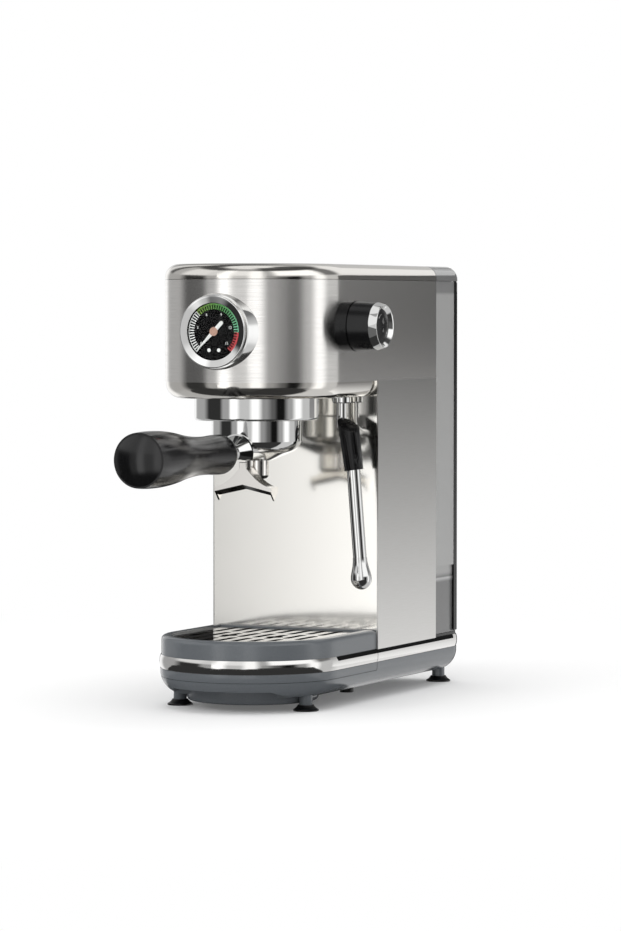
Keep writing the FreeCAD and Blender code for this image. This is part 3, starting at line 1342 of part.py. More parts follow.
def inside():
    low = S.pump_bottom
    top = low + S.pump_length
    coil_low = low + S.pump_inlet
    coil_high = top - S.pump_outlet
    neck_low = low + S.pump_port
    neck_high = top - S.pump_nozzle
    pump = turned("pump", [(0, low), (S.hose_radius, low), (S.hose_radius, neck_low),
                  (S.pump_neck, neck_low), (S.pump_neck, coil_low), (S.pump_coil, coil_low),
                  (S.pump_coil, coil_high), (S.pump_neck, coil_high), (S.pump_neck, neck_high),
                  (S.hose_radius, neck_high), (S.hose_radius, top), (0, top)],
                  at=(S.pump_x, S.pump_y, 0))
    piece("pump", pump)
    mounts = []
    for name, z in (("low", low + S.mount_low), ("high", top - S.mount_high)):
        ring = cylinder(f"mount_ring_{name}", S.pump_neck + S.mount_wall, S.mount_height,
                        at=(S.pump_x, S.pump_y, z))
        foot = box(f"mount_foot_{name}", (S.pump_x - S.pump_neck, S.pump_y + S.pump_neck, z),
                   (S.pump_x + S.pump_neck, S.bracket_y, z + S.mount_height))
        bore = cylinder(f"mount_bore_{name}", S.pump_neck + S.slide_gap / 2, S.mount_height + 2,
                        at=(S.pump_x, S.pump_y, z - 1))
        mounts.append(cut(f"mount_{name}", fuse(f"mount_blank_{name}", ring, foot), bore))
    piece("pump_mounts", group("pump_mounts", *mounts))

    heater_front = dial_y + S.gauge_can_depth + S.heater_gap
    heater_back = S.group_y + S.heater_rear
    heater_half = S.heater_width / 2
    corner = S.heater_corner
    heater = slab("heater", [(corner - heater_half, heater_front, corner),
                  (heater_half - corner, heater_front), (heater_half, heater_front + corner, corner),
                  (heater_half, heater_back - corner), (heater_half - corner, heater_back, corner),
                  (corner - heater_half, heater_back), (-heater_half, heater_back - corner, corner),
                  (-heater_half, heater_front + corner)], brew_top, brew_top + S.heater_height)
    piece("heater", heater)

    board_back = S.bracket_y + S.chassis_sheet
    board_front = board_back + S.spacer
    board_face = board_front + S.board_sheet
    plate = box("board_plate", (-S.board_half, board_front, S.board_bottom),
                (S.board_half, board_face, S.board_bottom + S.board_height))
    spacers = [cylinder(f"board_spacer_{name}", 2.5, S.spacer, at=(x, board_back, z),
                        turn=ALONG_Y)
               for name, x, z in (("low_left", -S.board_half + 5, S.board_bottom + 5),
                                  ("low_right", S.board_half - 5, S.board_bottom + 5),
                                  ("high_left", -S.board_half + 5,
                                   S.board_bottom + S.board_height - 5),
                                  ("high_right", S.board_half - 5,
                                   S.board_bottom + S.board_height - 5))]
    relay_x = S.relay_edge - S.board_half
    relay_z = S.board_bottom + S.relay_rise
    relay = box("board_relay", (relay_x, board_face, relay_z),
                (relay_x + S.relay_width, board_face + S.relay_depth, relay_z + S.relay_height))
    supply = box("board_supply", (S.supply_edge, board_face, S.board_bottom + S.supply_rise),
                 (S.board_half - S.supply_edge, board_face + S.supply_depth,
                  S.board_bottom + S.board_height - S.relay_rise))
    piece("control_board", fuse("control_board", plate, relay, supply, *spacers))

    hose = tube("water_hose", [(0, socket_y - S.socket_radius, hose_z), (0, S.bracket_y, hose_z),
                (S.pump_x, S.pump_y, hose_z), (S.pump_x, S.pump_y, low)],
                S.hose_radius, S.hose_radius * 3.3)
    piece("water_hose", hose)
    pressure_z = brew_top + S.heater_height * 0.4
    pressure = tube("pressure_tube", [(S.pump_x, S.pump_y, top), (S.pump_x, S.pump_y, pressure_z),
                    (S.pump_x, heater_back, pressure_z)], S.tube_radius, S.tube_radius * 5)
    piece("pressure_tube", pressure)
    steam_z = brew_top + S.heater_height * 0.55
    line_x = heater_half - S.steam_line_inset
    steam_line = tube("steam_tube", [(line_x, heater_back, steam_z),
                      (line_x, S.pipe_y, steam_z), (S.pipe_x, S.pipe_y, steam_z),
                      (S.pipe_x, S.pipe_y, sleeve_top)], S.tube_radius, S.tube_radius * 2.4)
    piece("steam_tube", steam_line)


hull = lower_hull()
base(hull)
drip_tray(hull)
column()
head()
gauge()
knob()
brew_group()
portafilter()
steam()
tank()
inside()

# Shift to the machine frame's origin, checks and files

shift = (-(S.knob_reach / 2), -((S.grip_end - S.cap_dome + rear + S.gland_reach) / 2))
doc.recompute()
for item in pieces:
    spot = spots.get(item.Name, (0, 0, 0))
    item.Placement = Placement(Vector(as_size(spot[0]).value + shift[0].value,
                                      as_size(spot[1]).value + shift[1].value,
                                      as_size(spot[2]).value), item.Placement.Rotation)
    bind(item, "Placement.Base.x", as_size(spot[0]) + shift[0])
    bind(item, "Placement.Base.y", as_size(spot[1]) + shift[1])
doc.recompute()
failed = [item.Name for item in doc.Objects if "Invalid" in item.State or "Error" in item.State]
if failed:
    raise RuntimeError(f"these objects failed: {failed}")
os.makedirs("parts", exist_ok=True)
bad = [item.Label for item in pieces
       if item.Shape.isNull() or not item.Shape.isValid() or not item.Shape.Solids]
if bad:
    raise RuntimeError(f"these pieces have no valid solid: {bad}")
for item in pieces:
    item.Shape.exportStep(f"parts/{item.Label}.step")
print(f"{len(pieces)} pieces")
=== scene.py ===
"""The looks of a slim pump espresso machine: every finish, the dial print and the small parts that only show.

The frame holds the solids at their real size. This script dresses each of them, adds the fine parts that
ride on them, and sets up the studio: a pale floor, soft light and the camera of the product photograph.
"""

import json
import logging
import math
from collections.abc import Callable, Iterator, Sequence
from contextlib import contextmanager
from dataclasses import dataclass
from enum import Enum

import bpy
from mathutils import Matrix, Vector


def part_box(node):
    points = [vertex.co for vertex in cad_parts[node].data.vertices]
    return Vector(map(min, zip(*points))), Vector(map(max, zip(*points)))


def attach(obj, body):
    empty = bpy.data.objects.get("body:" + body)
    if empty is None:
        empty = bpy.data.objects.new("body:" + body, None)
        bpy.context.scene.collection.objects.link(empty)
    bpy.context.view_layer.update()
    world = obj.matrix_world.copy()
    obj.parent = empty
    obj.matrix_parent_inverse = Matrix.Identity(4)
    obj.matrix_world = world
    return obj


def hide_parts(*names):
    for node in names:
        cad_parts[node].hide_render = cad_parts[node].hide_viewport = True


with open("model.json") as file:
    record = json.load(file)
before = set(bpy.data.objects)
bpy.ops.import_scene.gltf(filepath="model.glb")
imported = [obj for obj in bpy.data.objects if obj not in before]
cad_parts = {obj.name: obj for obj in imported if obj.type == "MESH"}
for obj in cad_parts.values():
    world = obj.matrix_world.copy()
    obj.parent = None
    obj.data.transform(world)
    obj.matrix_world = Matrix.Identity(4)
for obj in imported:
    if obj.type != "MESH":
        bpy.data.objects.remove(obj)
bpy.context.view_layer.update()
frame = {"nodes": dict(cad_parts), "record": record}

MM = 0.001
QUARTER = math.radians(90)
log = logging.getLogger("espresso_machine")

Piece = bpy.types.Object
Node = bpy.types.Node
Tree = bpy.types.NodeTree
Socket = bpy.types.NodeSocket
Value = float | int | str | bool | tuple | list | Socket | Node
Colour = tuple[float, float, float, float]


def linear(code: str) -> Colour:
    """Turns an sRGB hex colour into the linear colour that Blender reads.

    Args:
        code: The colour as "#rrggbb".

    Returns:
        Red, green, blue and a full alpha, all linear.
    """
    parts = [int(code[i : i + 2], 16) / 255 for i in (1, 3, 5)]
    red, green, blue = (c / 12.92 if c <= 0.04045 else ((c + 0.055) / 1.055) ** 2.4 for c in parts)
    return (red, green, blue, 1.0)


def grey(level: float) -> Colour:
    """A neutral linear colour of that level."""
    return (level, level, level, 1.0)


def add_node(tree: Tree, kind: str, settings: dict[str | int, Value] | None = None) -> Node:
    """Adds a node with its settings and links.

    Args:
        tree: The node tree that gets the node.
        kind: Blender's name of the node type, without its leading ShaderNode.
        settings: Properties by their lower-case name, inputs by their name or number, and "stops" for the
            places and colours of a colour ramp. A socket as value is linked to the input, and a node as
            value by its first output.

    Returns:
        The new node.
    """
    node = tree.nodes.new("ShaderNode" + kind)
    inputs = {}
    for key, value in (settings or {}).items():
        if key == "stops":
            fill_ramp(node.color_ramp, value)
        elif isinstance(key, str) and key[0].islower():
            setattr(node, key, value)
        else:
            inputs[key] = value.outputs[0] if isinstance(value, Node) else value
    for key, value in inputs.items():
        if isinstance(value, Socket):
            tree.links.new(value, node.inputs[key])
        else:
            node.inputs[key].default_value = value
    return node


def fill_ramp(ramp: bpy.types.ColorRamp, stops: list[tuple[float, Colour]]) -> None:
    """Sets a colour ramp's stops.

    Args:
        ramp: The ramp to fill.
        stops: Place from 0 to 1 and colour of each stop, in rising order.
    """
    while len(ramp.elements) > 1:
        ramp.elements.remove(ramp.elements[-1])
    for number, (place, colour) in enumerate(stops):
        stop = ramp.elements[0] if number == 0 else ramp.elements.new(place)
        stop.position = place
        stop.color = colour


def clean_tree(owner: bpy.types.Material | bpy.types.World) -> Tree:
    """Switches the nodes of a material or a world on and empties them.

    Args:
        owner: The material or world.

    Returns:
        Its empty node tree.
    """
    owner.use_nodes = True
    owner.node_tree.nodes.clear()
    return owner.node_tree


# Blender's mix node has sockets for every data type at once. These are the places of those for colours.
SHARE, UNDER, OVER, BLENDED = 0, 6, 7, 2
# The middle of a noise's spread, which a pattern uses from end to end, because its tails are rare.
NOISE_LOW, NOISE_HIGH = 0.3, 0.7
NOISE_SPAN = {"From Min": NOISE_LOW, "From Max": NOISE_HIGH}


def tones(low: str, high: str) -> list[tuple[float, Colour]]:
    """Ramp stops that run over a noise from one hex colour to another."""
    return [(NOISE_LOW, linear(low)), (NOISE_HIGH, linear(high))]


@dataclass
class Mixture:
    """A material in the making.

    Attributes:
        tree: Its nodes.
        place: A point's place on the piece, in metres.
        inputs: What its shader gets.
    """

    tree: Tree
    place: Socket
    inputs: dict[str | int, Value]


@dataclass(frozen=True)
class Finish:
    """What a surface is made of, at its plainest: one colour with a fine uneven gloss.

    Attributes:
        name: The material's name in a maker's words.
        colour: Its own colour as an sRGB hex value.
        roughness: Mean roughness.
        metallic: 1 for bare metal, 0 for everything else.
        ior: Index of refraction of what isn't metal.
        glare: Strength of its mirror image, 0.5 for a bare surface and less for a dusted or coated one.
        uneven: How far the roughness wanders from its mean.
        patch_mm: Size of the patches in which it wanders.
    """

    name: str
    colour: str
    roughness: float
    metallic: float = 0.0
    ior: float = 1.5
    glare: float = 0.5
    uneven: float = 0.03
    patch_mm: float = 18.0

    def make(self) -> bpy.types.Material:
        """Builds the material.

        Returns:
            The material with its Principled shader and texture.
        """
        material = bpy.data.materials.new(self.name)
        tree = clean_tree(material)
        inputs = {
            "Base Color": linear(self.colour),
            "Roughness": self.roughness,
            "Metallic": self.metallic,
            "IOR": self.ior,
            "Specular IOR Level": self.glare,
        }
        mix = Mixture(tree, add_node(tree, "TexCoord").outputs["Object"], inputs)
        self.texture(mix)
        shader = add_node(tree, "BsdfPrincipled", mix.inputs)
        add_node(tree, "OutputMaterial", {"Surface": self.surface(tree, shader)})
        return material

    def texture(self, mix: Mixture) -> None:
        """Lets the roughness wander about its mean in soft patches, as handled and cleaned surfaces do.

        Args:
            mix: The material in the making.
        """
        scale = 1 / (self.patch_mm * MM)
        noise = add_node(mix.tree, "TexNoise", {"Vector": mix.place, "Scale": scale, "Detail": 3.0})
        least, most = max(0.0, self.roughness - self.uneven), self.roughness + self.uneven
        spread = {"Value": noise, **NOISE_SPAN, "To Min": least, "To Max": most}
        mix.inputs["Roughness"] = add_node(mix.tree, "MapRange", spread)

    def surface(self, tree: Tree, shader: Node) -> Node:
        """What the surface shows: the shader itself, or in clear finishes a mix."""
        return shader


@dataclass(frozen=True)
class MouldedPlastic(Finish):
    """Injection-moulded ABS or polypropylene: an eroded mould leaves a fine grain that softens the gloss.

    Attributes:
        grain_mm: Width of the grain, drawn coarser than the real 0.1 mm so that it shows.
        grain_depth_mm: Height of the grain.
        deep: The colour in the hollows of the grain.
    """

    grain_mm: float = 0.7
    grain_depth_mm: float = 0.008
    deep: str = "#101010"

    def texture(self, mix: Mixture) -> None:
        """Adds the mould's grain as a bump and as a faint change of colour.

        Args:
            mix: The material in the making.
        """
        super().texture(mix)
        scale = 1 / (self.grain_mm * MM)
        grain = add_node(mix.tree, "TexNoise", {"Vector": mix.place, "Scale": scale, "Detail": 2.0})
        relief = {"Height": grain, "Distance": self.grain_depth_mm * MM, "Strength": 1.0}
        mix.inputs["Normal"] = add_node(mix.tree, "Bump", relief)
        colours = {"Fac": grain, "stops": tones(self.deep, self.colour)}
        mix.inputs["Base Color"] = add_node(mix.tree, "ValToRGB", colours)


@dataclass(frozen=True)
class BrushedSteel(Finish):
    """Stainless sheet brushed along its length: fine level lines that draw reflections out across them.

    Attributes:
        line_mm: Spacing of the brush lines, drawn coarser than the real 0.1 mm so that they show.
        run_mm: Length of one line.
        line_depth_mm: Depth of the lines.
        stretch: How far a reflection is drawn out across the lines.
        turn: Turn of that stretch, a quarter round for lines that lie level.
        line_colour: The colour at the bottom of a line.
    """

    metallic: float = 1.0
    line_mm: float = 0.4
    run_mm: float = 24.0
    line_depth_mm: float = 0.0001
    stretch: float = 0.8
    turn: float = 0.25
    line_colour: str = "#e4e2df"

    def texture(self, mix: Mixture) -> None:
        """Draws the brush lines in colour, gloss and relief.

        Args:
            mix: The material in the making.
        """
        along = 1 / (self.run_mm * MM)
        across = 1 / (self.line_mm * MM)
        laid = add_node(mix.tree, "Mapping", {"Vector": mix.place, "Scale": (along, along, across)})
        pattern = {"Vector": laid, "Scale": 1.0, "Detail": 4.0, "Roughness": 0.6}
        lines = add_node(mix.tree, "TexNoise", pattern)
        colours = {"Fac": lines, "stops": tones(self.line_colour, self.colour)}
        least, most = self.roughness + self.uneven, self.roughness - self.uneven
        gloss = {"Value": lines, **NOISE_SPAN, "To Min": least, "To Max": most}
        relief = {"Height": lines, "Distance": self.line_depth_mm * MM, "Strength": 1.0}
        mix.inputs |= {
            "Anisotropic": self.stretch,
            "Anisotropic Rotation": self.turn,
            "Base Color": add_node(mix.tree, "ValToRGB", colours),
            "Roughness": add_node(mix.tree, "MapRange", gloss),
            "Normal": add_node(mix.tree, "Bump", relief),
        }


@dataclass(frozen=True)
class PolishedMetal(Finish):
    """Buffed steel or chrome plate: nearly a mirror, with the soft waves that a buffing wheel leaves.

    Attributes:
        wave_mm: Length of the waves.
        wave_depth_mm: Their height.
    """

    metallic: float = 1.0
    uneven: float = 0.015
    wave_mm: float = 22.0
    wave_depth_mm: float = 0.01

    def texture(self, mix: Mixture) -> None:
        """Adds the buffing waves and the faint wiped patches.

        Args:
            mix: The material in the making.
        """
        super().texture(mix)
        scale = 1 / (self.wave_mm * MM)
        waves = add_node(mix.tree, "TexNoise", {"Vector": mix.place, "Scale": scale, "Detail": 1.0})
        relief = {"Height": waves, "Distance": self.wave_depth_mm * MM, "Strength": 1.0}
        mix.inputs["Normal"] = add_node(mix.tree, "Bump", relief)


@dataclass(frozen=True)
class StainedUnderside(PolishedMetal):
    """Buffed steel with painted shade: its colour turns dark wherever a face looks down.

    Attributes:
        undershade: Colour of the painted shade on the underside.
        slopes: How far down a face looks where the painted shade begins and where it is full.
    """

    stain: str = "#171614"
    slopes: tuple[float, float] = (-0.12, -0.3)

    def texture(self, mix: Mixture) -> None:
        """Paints shade: turns the colour dark on faces that look down.

        Args:
            mix: The material in the making.
        """
        super().texture(mix)
        facing = add_node(mix.tree, "NewGeometry").outputs["Normal"]
        up = add_node(mix.tree, "SeparateXYZ", {"Vector": facing}).outputs["Z"]
        slope = {"Value": up, "From Min": self.slopes[0], "From Max": self.slopes[1]}
        share = add_node(mix.tree, "MapRange", slope)
        # Painted shade laid over the steel's colour on the faces that look down.
        under = mix.inputs["Base Color"]
        layers = {"data_type": "RGBA", SHARE: share, UNDER: under, OVER: linear(self.stain)}
        mix.inputs["Base Color"] = add_node(mix.tree, "Mix", layers).outputs[BLENDED]


@dataclass(frozen=True)
class CastMetal(Finish):
    """Cast or galvanised metal: a mottled skin with a low sheen.

    Attributes:
        spangle_mm: Size of the mottling.
        dark: The darker tone in it.
    """

    metallic: float = 1.0
    spangle_mm: float = 4.0
    dark: str = "#8a8a88"

    def texture(self, mix: Mixture) -> None:
        """Mottles the colour and the gloss by one cell pattern.

        Args:
            mix: The material in the making.
        """
        scale = 1 / (self.spangle_mm * MM)
        cells = add_node(mix.tree, "TexVoronoi", {"Vector": mix.place, "Scale": scale}).outputs["Color"]
        colours = {"Fac": cells, "stops": tones(self.dark, self.colour)}
        least, most = self.roughness - self.uneven, self.roughness + self.uneven
        gloss = {"Value": cells, "To Min": least, "To Max": most}
        mix.inputs["Base Color"] = add_node(mix.tree, "ValToRGB", colours)
        mix.inputs["Roughness"] = add_node(mix.tree, "MapRange", gloss)


@dataclass(frozen=True)
class ClearPlastic(Finish):
    """Clear or smoked moulded plastic that shows what is behind it and lets the lamps through.

    Attributes:
        shade: What the lamps lose on their way through it, as an sRGB hex value.
        clearness: 1 for a window, less for plastic that scatters part of the light in its own colour.
    """

    ior: float = 1.49
    uneven: float = 0.01
    shade: str = "#ffffff"
    clearness: float = 1.0

    def texture(self, mix: Mixture) -> None:
        """Adds the clearness to the plain gloss."""
        super().texture(mix)
        mix.inputs["Transmission Weight"] = self.clearness

    def surface(self, tree: Tree, shader: Node) -> Node:
        """Glass to the eye, and a tinted gap to the light of the lamps.

        Args:
            tree: The material's nodes.
            shader: The glass.

        Returns:
            The mix of both.
        """
        shadow = add_node(tree, "LightPath").outputs["Is Shadow Ray"]
        gap = add_node(tree, "BsdfTransparent", {"Color": linear(self.shade)})
        return add_node(tree, "MixShader", {"Fac": shadow, 1: shader, 2: gap})


@dataclass(frozen=True)
class SmokedTank(ClearPlastic):
    """The tank's smoked plastic: the lid's plug shows through near the top, the thick foot is darker, and a
    painted highlight runs along the shoulder.

    Attributes:
        foot_colour: Colour below the shoulder.
        line_colour: Colour of the painted highlight along the shoulder.
        plug_colour: Colour where the lid's plug stands behind the wall.
        shoulder: Height of the shoulder in metres.
        plug: Height of the plug's lower end.
        edge: Width of a change from one colour to the next.
        ceiling: Height at which the ramp of colours ends.
    """

    foot_colour: str = "#868686"
    line_colour: str = "#f0f0f0"
    plug_colour: str = "#9c9c9c"
    shoulder: float = 0.0785
    plug: float = 0.2885
    edge: float = 0.0015
    ceiling: float = 0.32

    def texture(self, mix: Mixture) -> None:
        """Colours the wall by height.

        Args:
            mix: The material in the making.
        """
        super().texture(mix)
        height = add_node(mix.tree, "SeparateXYZ", {"Vector": mix.place}).outputs["Z"]
        share = add_node(mix.tree, "Math", {"operation": "DIVIDE", 0: height, 1: self.ceiling})
        levels = [
            (self.shoulder - self.edge, self.foot_colour),
            # The bright stop at the shoulder is a painted highlight.
            (self.shoulder, self.line_colour),
            (self.shoulder + self.edge, self.foot_colour),
            (self.shoulder + self.edge * 3, self.colour),
            (self.plug - self.edge, self.colour),
            (self.plug, self.plug_colour),
        ]
        stops = [(level / self.ceiling, linear(colour)) for level, colour in levels]
        mix.inputs["Base Color"] = add_node(mix.tree, "ValToRGB", {"Fac": share, "stops": stops})


@dataclass(frozen=True)
class DarkWell(MouldedPlastic):
    """The tray's plastic with painted shade: its well is painted near black, and its rim is slate grey.

    Attributes:
        well_colour: Colour of the painted shade inside the well.
        centre: Middle of the well's round front, in metres.
        reach_mm: Radius of that round front.
        rim_mm: Height up to which the well is painted dark.
    """

    well_colour: str = "#0a0a0a"
    centre: tuple[float, float] = (0.0, 0.0)
    reach_mm: float = 60.6
    rim_mm: float = 48.4

    def texture(self, mix: Mixture) -> None:
        """Paints shade inside the rim, whose outline is a half round before two straight sides.

        Args:
            mix: The material in the making.
        """
        super().texture(mix)
        tree = mix.tree
        parts = add_node(tree, "SeparateXYZ", {"Vector": mix.place}).outputs
        across = add_node(tree, "Math", {"operation": "SUBTRACT", 0: parts["X"], 1: self.centre[0]})
        ahead = add_node(tree, "Math", {"operation": "SUBTRACT", 0: parts["Y"], 1: self.centre[1]})
        front = add_node(tree, "Math", {"operation": "MINIMUM", 0: ahead, 1: 0.0})
        flat = add_node(tree, "CombineXYZ", {"X": across, "Y": front})
        reach = add_node(tree, "VectorMath", {"operation": "LENGTH", 0: flat}).outputs["Value"]
        inside = add_node(tree, "Math", {"operation": "LESS_THAN", 0: reach, 1: self.reach_mm * MM})
        deep = add_node(tree, "Math", {"operation": "LESS_THAN", 0: parts["Z"], 1: self.rim_mm * MM})
        well = add_node(tree, "Math", {"operation": "MULTIPLY", 0: inside, 1: deep})
        # Painted shade: near black inside the well, below the rim.
        under = mix.inputs["Base Color"]
        layers = {"data_type": "RGBA", SHARE: well, UNDER: under, OVER: linear(self.well_colour)}
        mix.inputs["Base Color"] = add_node(tree, "Mix", layers).outputs[BLENDED]


@dataclass(frozen=True)
class HubbedNeedle(Finish):
    """A painted pointer whose hub is bare brass: what lies near the pin isn't painted.

    Attributes:
        hub_colour: Colour of the bare hub.
        hub_mm: Radius up to which it is bare.
        centre: The pin's place, in metres.
    """

    hub_colour: str = "#b98f7c"
    hub_mm: float = 3.0
    centre: tuple[float, float, float] = (0.0, 0.0, 0.0)

    def texture(self, mix: Mixture) -> None:
        """Parts the paint from the bare hub by the distance from the pin.

        Args:
            mix: The material in the making.
        """
        super().texture(mix)
        tree = mix.tree
        away = tuple(-c for c in self.centre)
        moved = add_node(tree, "Mapping", {"Vector": mix.place, "Location": away})
        flat = add_node(tree, "VectorMath", {"operation": "MULTIPLY", 0: moved, 1: (1.0, 0.0, 1.0)})
        reach = add_node(tree, "VectorMath", {"operation": "LENGTH", 0: flat}).outputs["Value"]
        hub = add_node(tree, "Math", {"operation": "LESS_THAN", 0: reach, 1: self.hub_mm * MM})
        under = mix.inputs["Base Color"]
        layers = {"data_type": "RGBA", SHARE: hub, UNDER: under, OVER: linear(self.hub_colour)}
        mix.inputs["Base Color"] = add_node(tree, "Mix", layers).outputs[BLENDED]


@dataclass(frozen=True)
class BandInk(Finish):
    """Dial ink whose tone runs along its arc, from one colour at its start to another at its end.

    Attributes:
        stops: Colours along the arc, as sRGB hex values.
        centre: The dial's middle, in metres.
        start: Bearing of the arc's start in degrees, clockwise from the top.
        sweep: Degrees that the arc covers.
    """

    stops: tuple[str, ...] = ("#7c9a3c", "#4f9a4a", "#7ac79f")
    centre: tuple[float, float, float] = (0.0, 0.0, 0.0)
    start: float = -45.0
    sweep: float = 135.0

    def texture(self, mix: Mixture) -> None:
        """Reads the bearing about the dial's middle and colours by it.

        Args:
            mix: The material in the making.
        """
        super().texture(mix)
        away = tuple(-c for c in self.centre)
        moved = add_node(mix.tree, "Mapping", {"Vector": mix.place, "Location": away})
        parts = add_node(mix.tree, "SeparateXYZ", {"Vector": moved}).outputs
        bearing = add_node(mix.tree, "Math", {"operation": "ARCTAN2", 0: parts["X"], 1: parts["Z"]})
        first, last = math.radians(self.start), math.radians(self.start + self.sweep)
        along = add_node(mix.tree, "MapRange", {"Value": bearing, "From Min": first, "From Max": last})
        steps = len(self.stops) - 1
        stops = [(number / steps, linear(colour)) for number, colour in enumerate(self.stops)]
        mix.inputs["Base Color"] = add_node(mix.tree, "ValToRGB", {"Fac": along, "stops": stops})


class Slot(Enum):
    """The record's material slots."""

    BASE = "base_plastic"
    BLACK = "black_plastic"
    HANDLE = "handle_plastic"
    RUBBER = "rubber"
    TRIM = "silver_trim"
    BRUSHED = "brushed_steel"
    SIDE = "side_steel"
    POLISHED = "polished_steel"
    CHROME = "chrome"
    WAND_TIP = "wand_tip"
    GLASS = "gauge_glass"
    DIAL = "dial_face"
    NEEDLE = "needle_paint"
    TANK = "tank_plastic"
    LID = "lid_plastic"
    VALVE = "valve_plastic"
    ZINC = "zinc_sheet"
    BOILER = "boiler_alloy"
    PUMP = "pump_body"
    BOARD = "board"
    SILICONE = "silicone_tube"
    PRESSURE_PIPE = "pressure_pipe"


def middle(node: str) -> Vector:
    """The middle of a CAD node's box, in metres."""
    low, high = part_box(node)
    return (low + high) / 2


NEEDLE_PIN = (middle("gauge_dial").x, 0.0, middle("gauge_dial").z)
TRAY_LOW, TRAY_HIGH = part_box("drip_tray")
TRAY_CENTRE = (middle("drip_tray").x, TRAY_LOW.y + (TRAY_HIGH.x - TRAY_LOW.x) / 2)

# Slate-grey ABS from a finely eroded mould: a dull sheen with hardly any grain.
SLATE = MouldedPlastic(
    "slate_abs", "#666a6e", 0.2, deep="#62666a", uneven=0.015, grain_mm=1.0, grain_depth_mm=0.002
)
# Black ABS of the knob, the cradle and the trims: a soft gloss from a fine mould.
BLACK = MouldedPlastic("black_abs", "#131314", 0.26, deep="#0f0f10", glare=0.3, grain_depth_mm=0.004)

FINISHES: dict[Slot, Finish] = {
    Slot.BASE: SLATE,
    Slot.BLACK: BLACK,
    # Black phenolic handle, buffed after moulding: long soft highlights.
    Slot.HANDLE: MouldedPlastic("satin_phenolic", "#101011", 0.18, deep="#0b0b0c", uneven=0.04),
    # Black silicone, smooth enough to grip by suction: a greasy dull shine.
    Slot.RUBBER: MouldedPlastic("black_silicone", "#101011", 0.3, deep="#0c0c0d", ior=1.42),
    # Bright steel strip round the base, rolled and buffed: a clear image drawn out along it.
    Slot.TRIM: PolishedMetal("bright_strip", "#dddcda", 0.1),
    # Stainless sheet of the head, brushed level: reflections stand as upright bands.
    Slot.BRUSHED: BrushedSteel("brushed_stainless", "#f3f1ee", 0.25, uneven=0.02),
    # Stainless sheet of the column's sides, brushed finer: one even grey that fades with height.
    Slot.SIDE: BrushedSteel(
        "fine_brushed_stainless", "#d9d8d6", 0.3, uneven=0.012, run_mm=16.0, line_depth_mm=0.00006,
        line_colour="#d4d3d0",
    ),
    # Buffed stainless of the group and the bowl: hard bright and dark bands.
    Slot.POLISHED: PolishedMetal("buffed_stainless", "#e6e3de", 0.12),
    # Bright chrome plate: the sharpest mirror on the machine.
    Slot.CHROME: PolishedMetal("chrome_plate", "#e2e2e1", 0.05, uneven=0.01),
    # Satin steel tip of the wand: a mirror image with soft edges.
    Slot.WAND_TIP: PolishedMetal("satin_steel_tip", "#d9d9d8", 0.1),
    # Clear polycarbonate lens, coated against glare, which leaves it far less mirror than a bare one.
    Slot.GLASS: ClearPlastic("clear_lens", "#fbfdfd", 0.0, ior=1.15, uneven=0.0),
    # Matt black dial plate, sprayed: no highlight at all.
    Slot.DIAL: MouldedPlastic("black_dial_paint", "#0c0b0c", 0.6, deep="#080808", glare=0.04),
    # White painted pointer with a bare brass hub.
    Slot.NEEDLE: HubbedNeedle("white_pointer", "#f0efec", 0.35, centre=NEEDLE_PIN),
    # Smoked SAN of the tank, moulded clear: grey, and half seen through.
    Slot.TANK: SmokedTank("smoked_tank", "#c6c6c5", 0.12, shade="#8a8a8c", uneven=0.03, clearness=0.35),
    # Grey ABS lid of the tank, metallised: as glossy as the steel beside it.
    Slot.LID: MouldedPlastic(
        "grey_lid_abs", "#a4a4a4", 0.1, metallic=0.55, deep="#9e9e9e", uneven=0.02, glare=1.0,
        grain_depth_mm=0.0,
    ),
    # Milky nylon of the valve: waxy and pale.
    Slot.VALVE: MouldedPlastic("milky_nylon", "#dcdbd5", 0.45, deep="#d2d1cb"),
    # Galvanised sheet: large pale flakes.
    Slot.ZINC: CastMetal("galvanised_sheet", "#c9cac9", 0.42, spangle_mm=6.0, dark="#a9abab", uneven=0.08),
    # Die-cast aluminium of the boiler: fine dull mottling.
    Slot.BOILER: CastMetal("cast_aluminium", "#bdbdbb", 0.5, spangle_mm=1.2, dark="#a2a2a0", uneven=0.08),
    # Moulded nylon body of the pump: brick red with a dull grain.
    Slot.PUMP: MouldedPlastic("red_pump_nylon", "#a5352b", 0.42, deep="#8c2a22"),
    # Lacquered glass-fibre board: green with a coarse weave under the gloss.
    Slot.BOARD: MouldedPlastic("green_board", "#2f7046", 0.35, deep="#275e3a", grain_mm=2.0),
    # Extruded silicone hose: milky and soft.
    Slot.SILICONE: MouldedPlastic("milky_silicone", "#dcdcd6", 0.5, deep="#d0d0ca", ior=1.42),
    # Drawn PTFE pressure pipe: a clean waxy white.
    Slot.PRESSURE_PIPE: MouldedPlastic("white_ptfe", "#ebebe8", 0.4, deep="#e0e0dc", ior=1.38),
}

# Buffed stainless that a cup stands before: it mirrors what is near and softens what is far.
MIRROR_PANEL = PolishedMetal("mirror_panel_stainless", "#f6f4ef", 0.11, uneven=0.01, wave_depth_mm=0.002)
# Slate ABS of the tray, with painted shade in its well.
TRAY_PLASTIC = DarkWell(
    "tray_slate_abs", SLATE.colour, SLATE.roughness, deep=SLATE.deep, uneven=SLATE.uneven,
    grain_mm=SLATE.grain_mm, grain_depth_mm=SLATE.grain_depth_mm, centre=TRAY_CENTRE,
)
# Painted shade of the deep slot between the trim and the sheets: a dead black sheet where hardly any light
# comes out.
SLOT_SHADE = MouldedPlastic("painted_slot_shade", "#0a0a0b", 0.6, deep="#080809", glare=0.03)
# Buffed steel of the spout, with painted shade on its faces that look down.
SPOUT_METAL = StainedUnderside("spout_stainless", "#ebe8e4", 0.14)
# White, red and green dial inks, all dead matt. The green runs from olive to sea green.
WHITE_INK = Finish("white_dial_ink", "#f4f4f1", 0.6)
RED_INK = Finish("red_dial_ink", "#c43a3e", 0.6)
GREEN_INK = BandInk("green_dial_ink", "#5fa04f", 0.6, centre=NEEDLE_PIN)
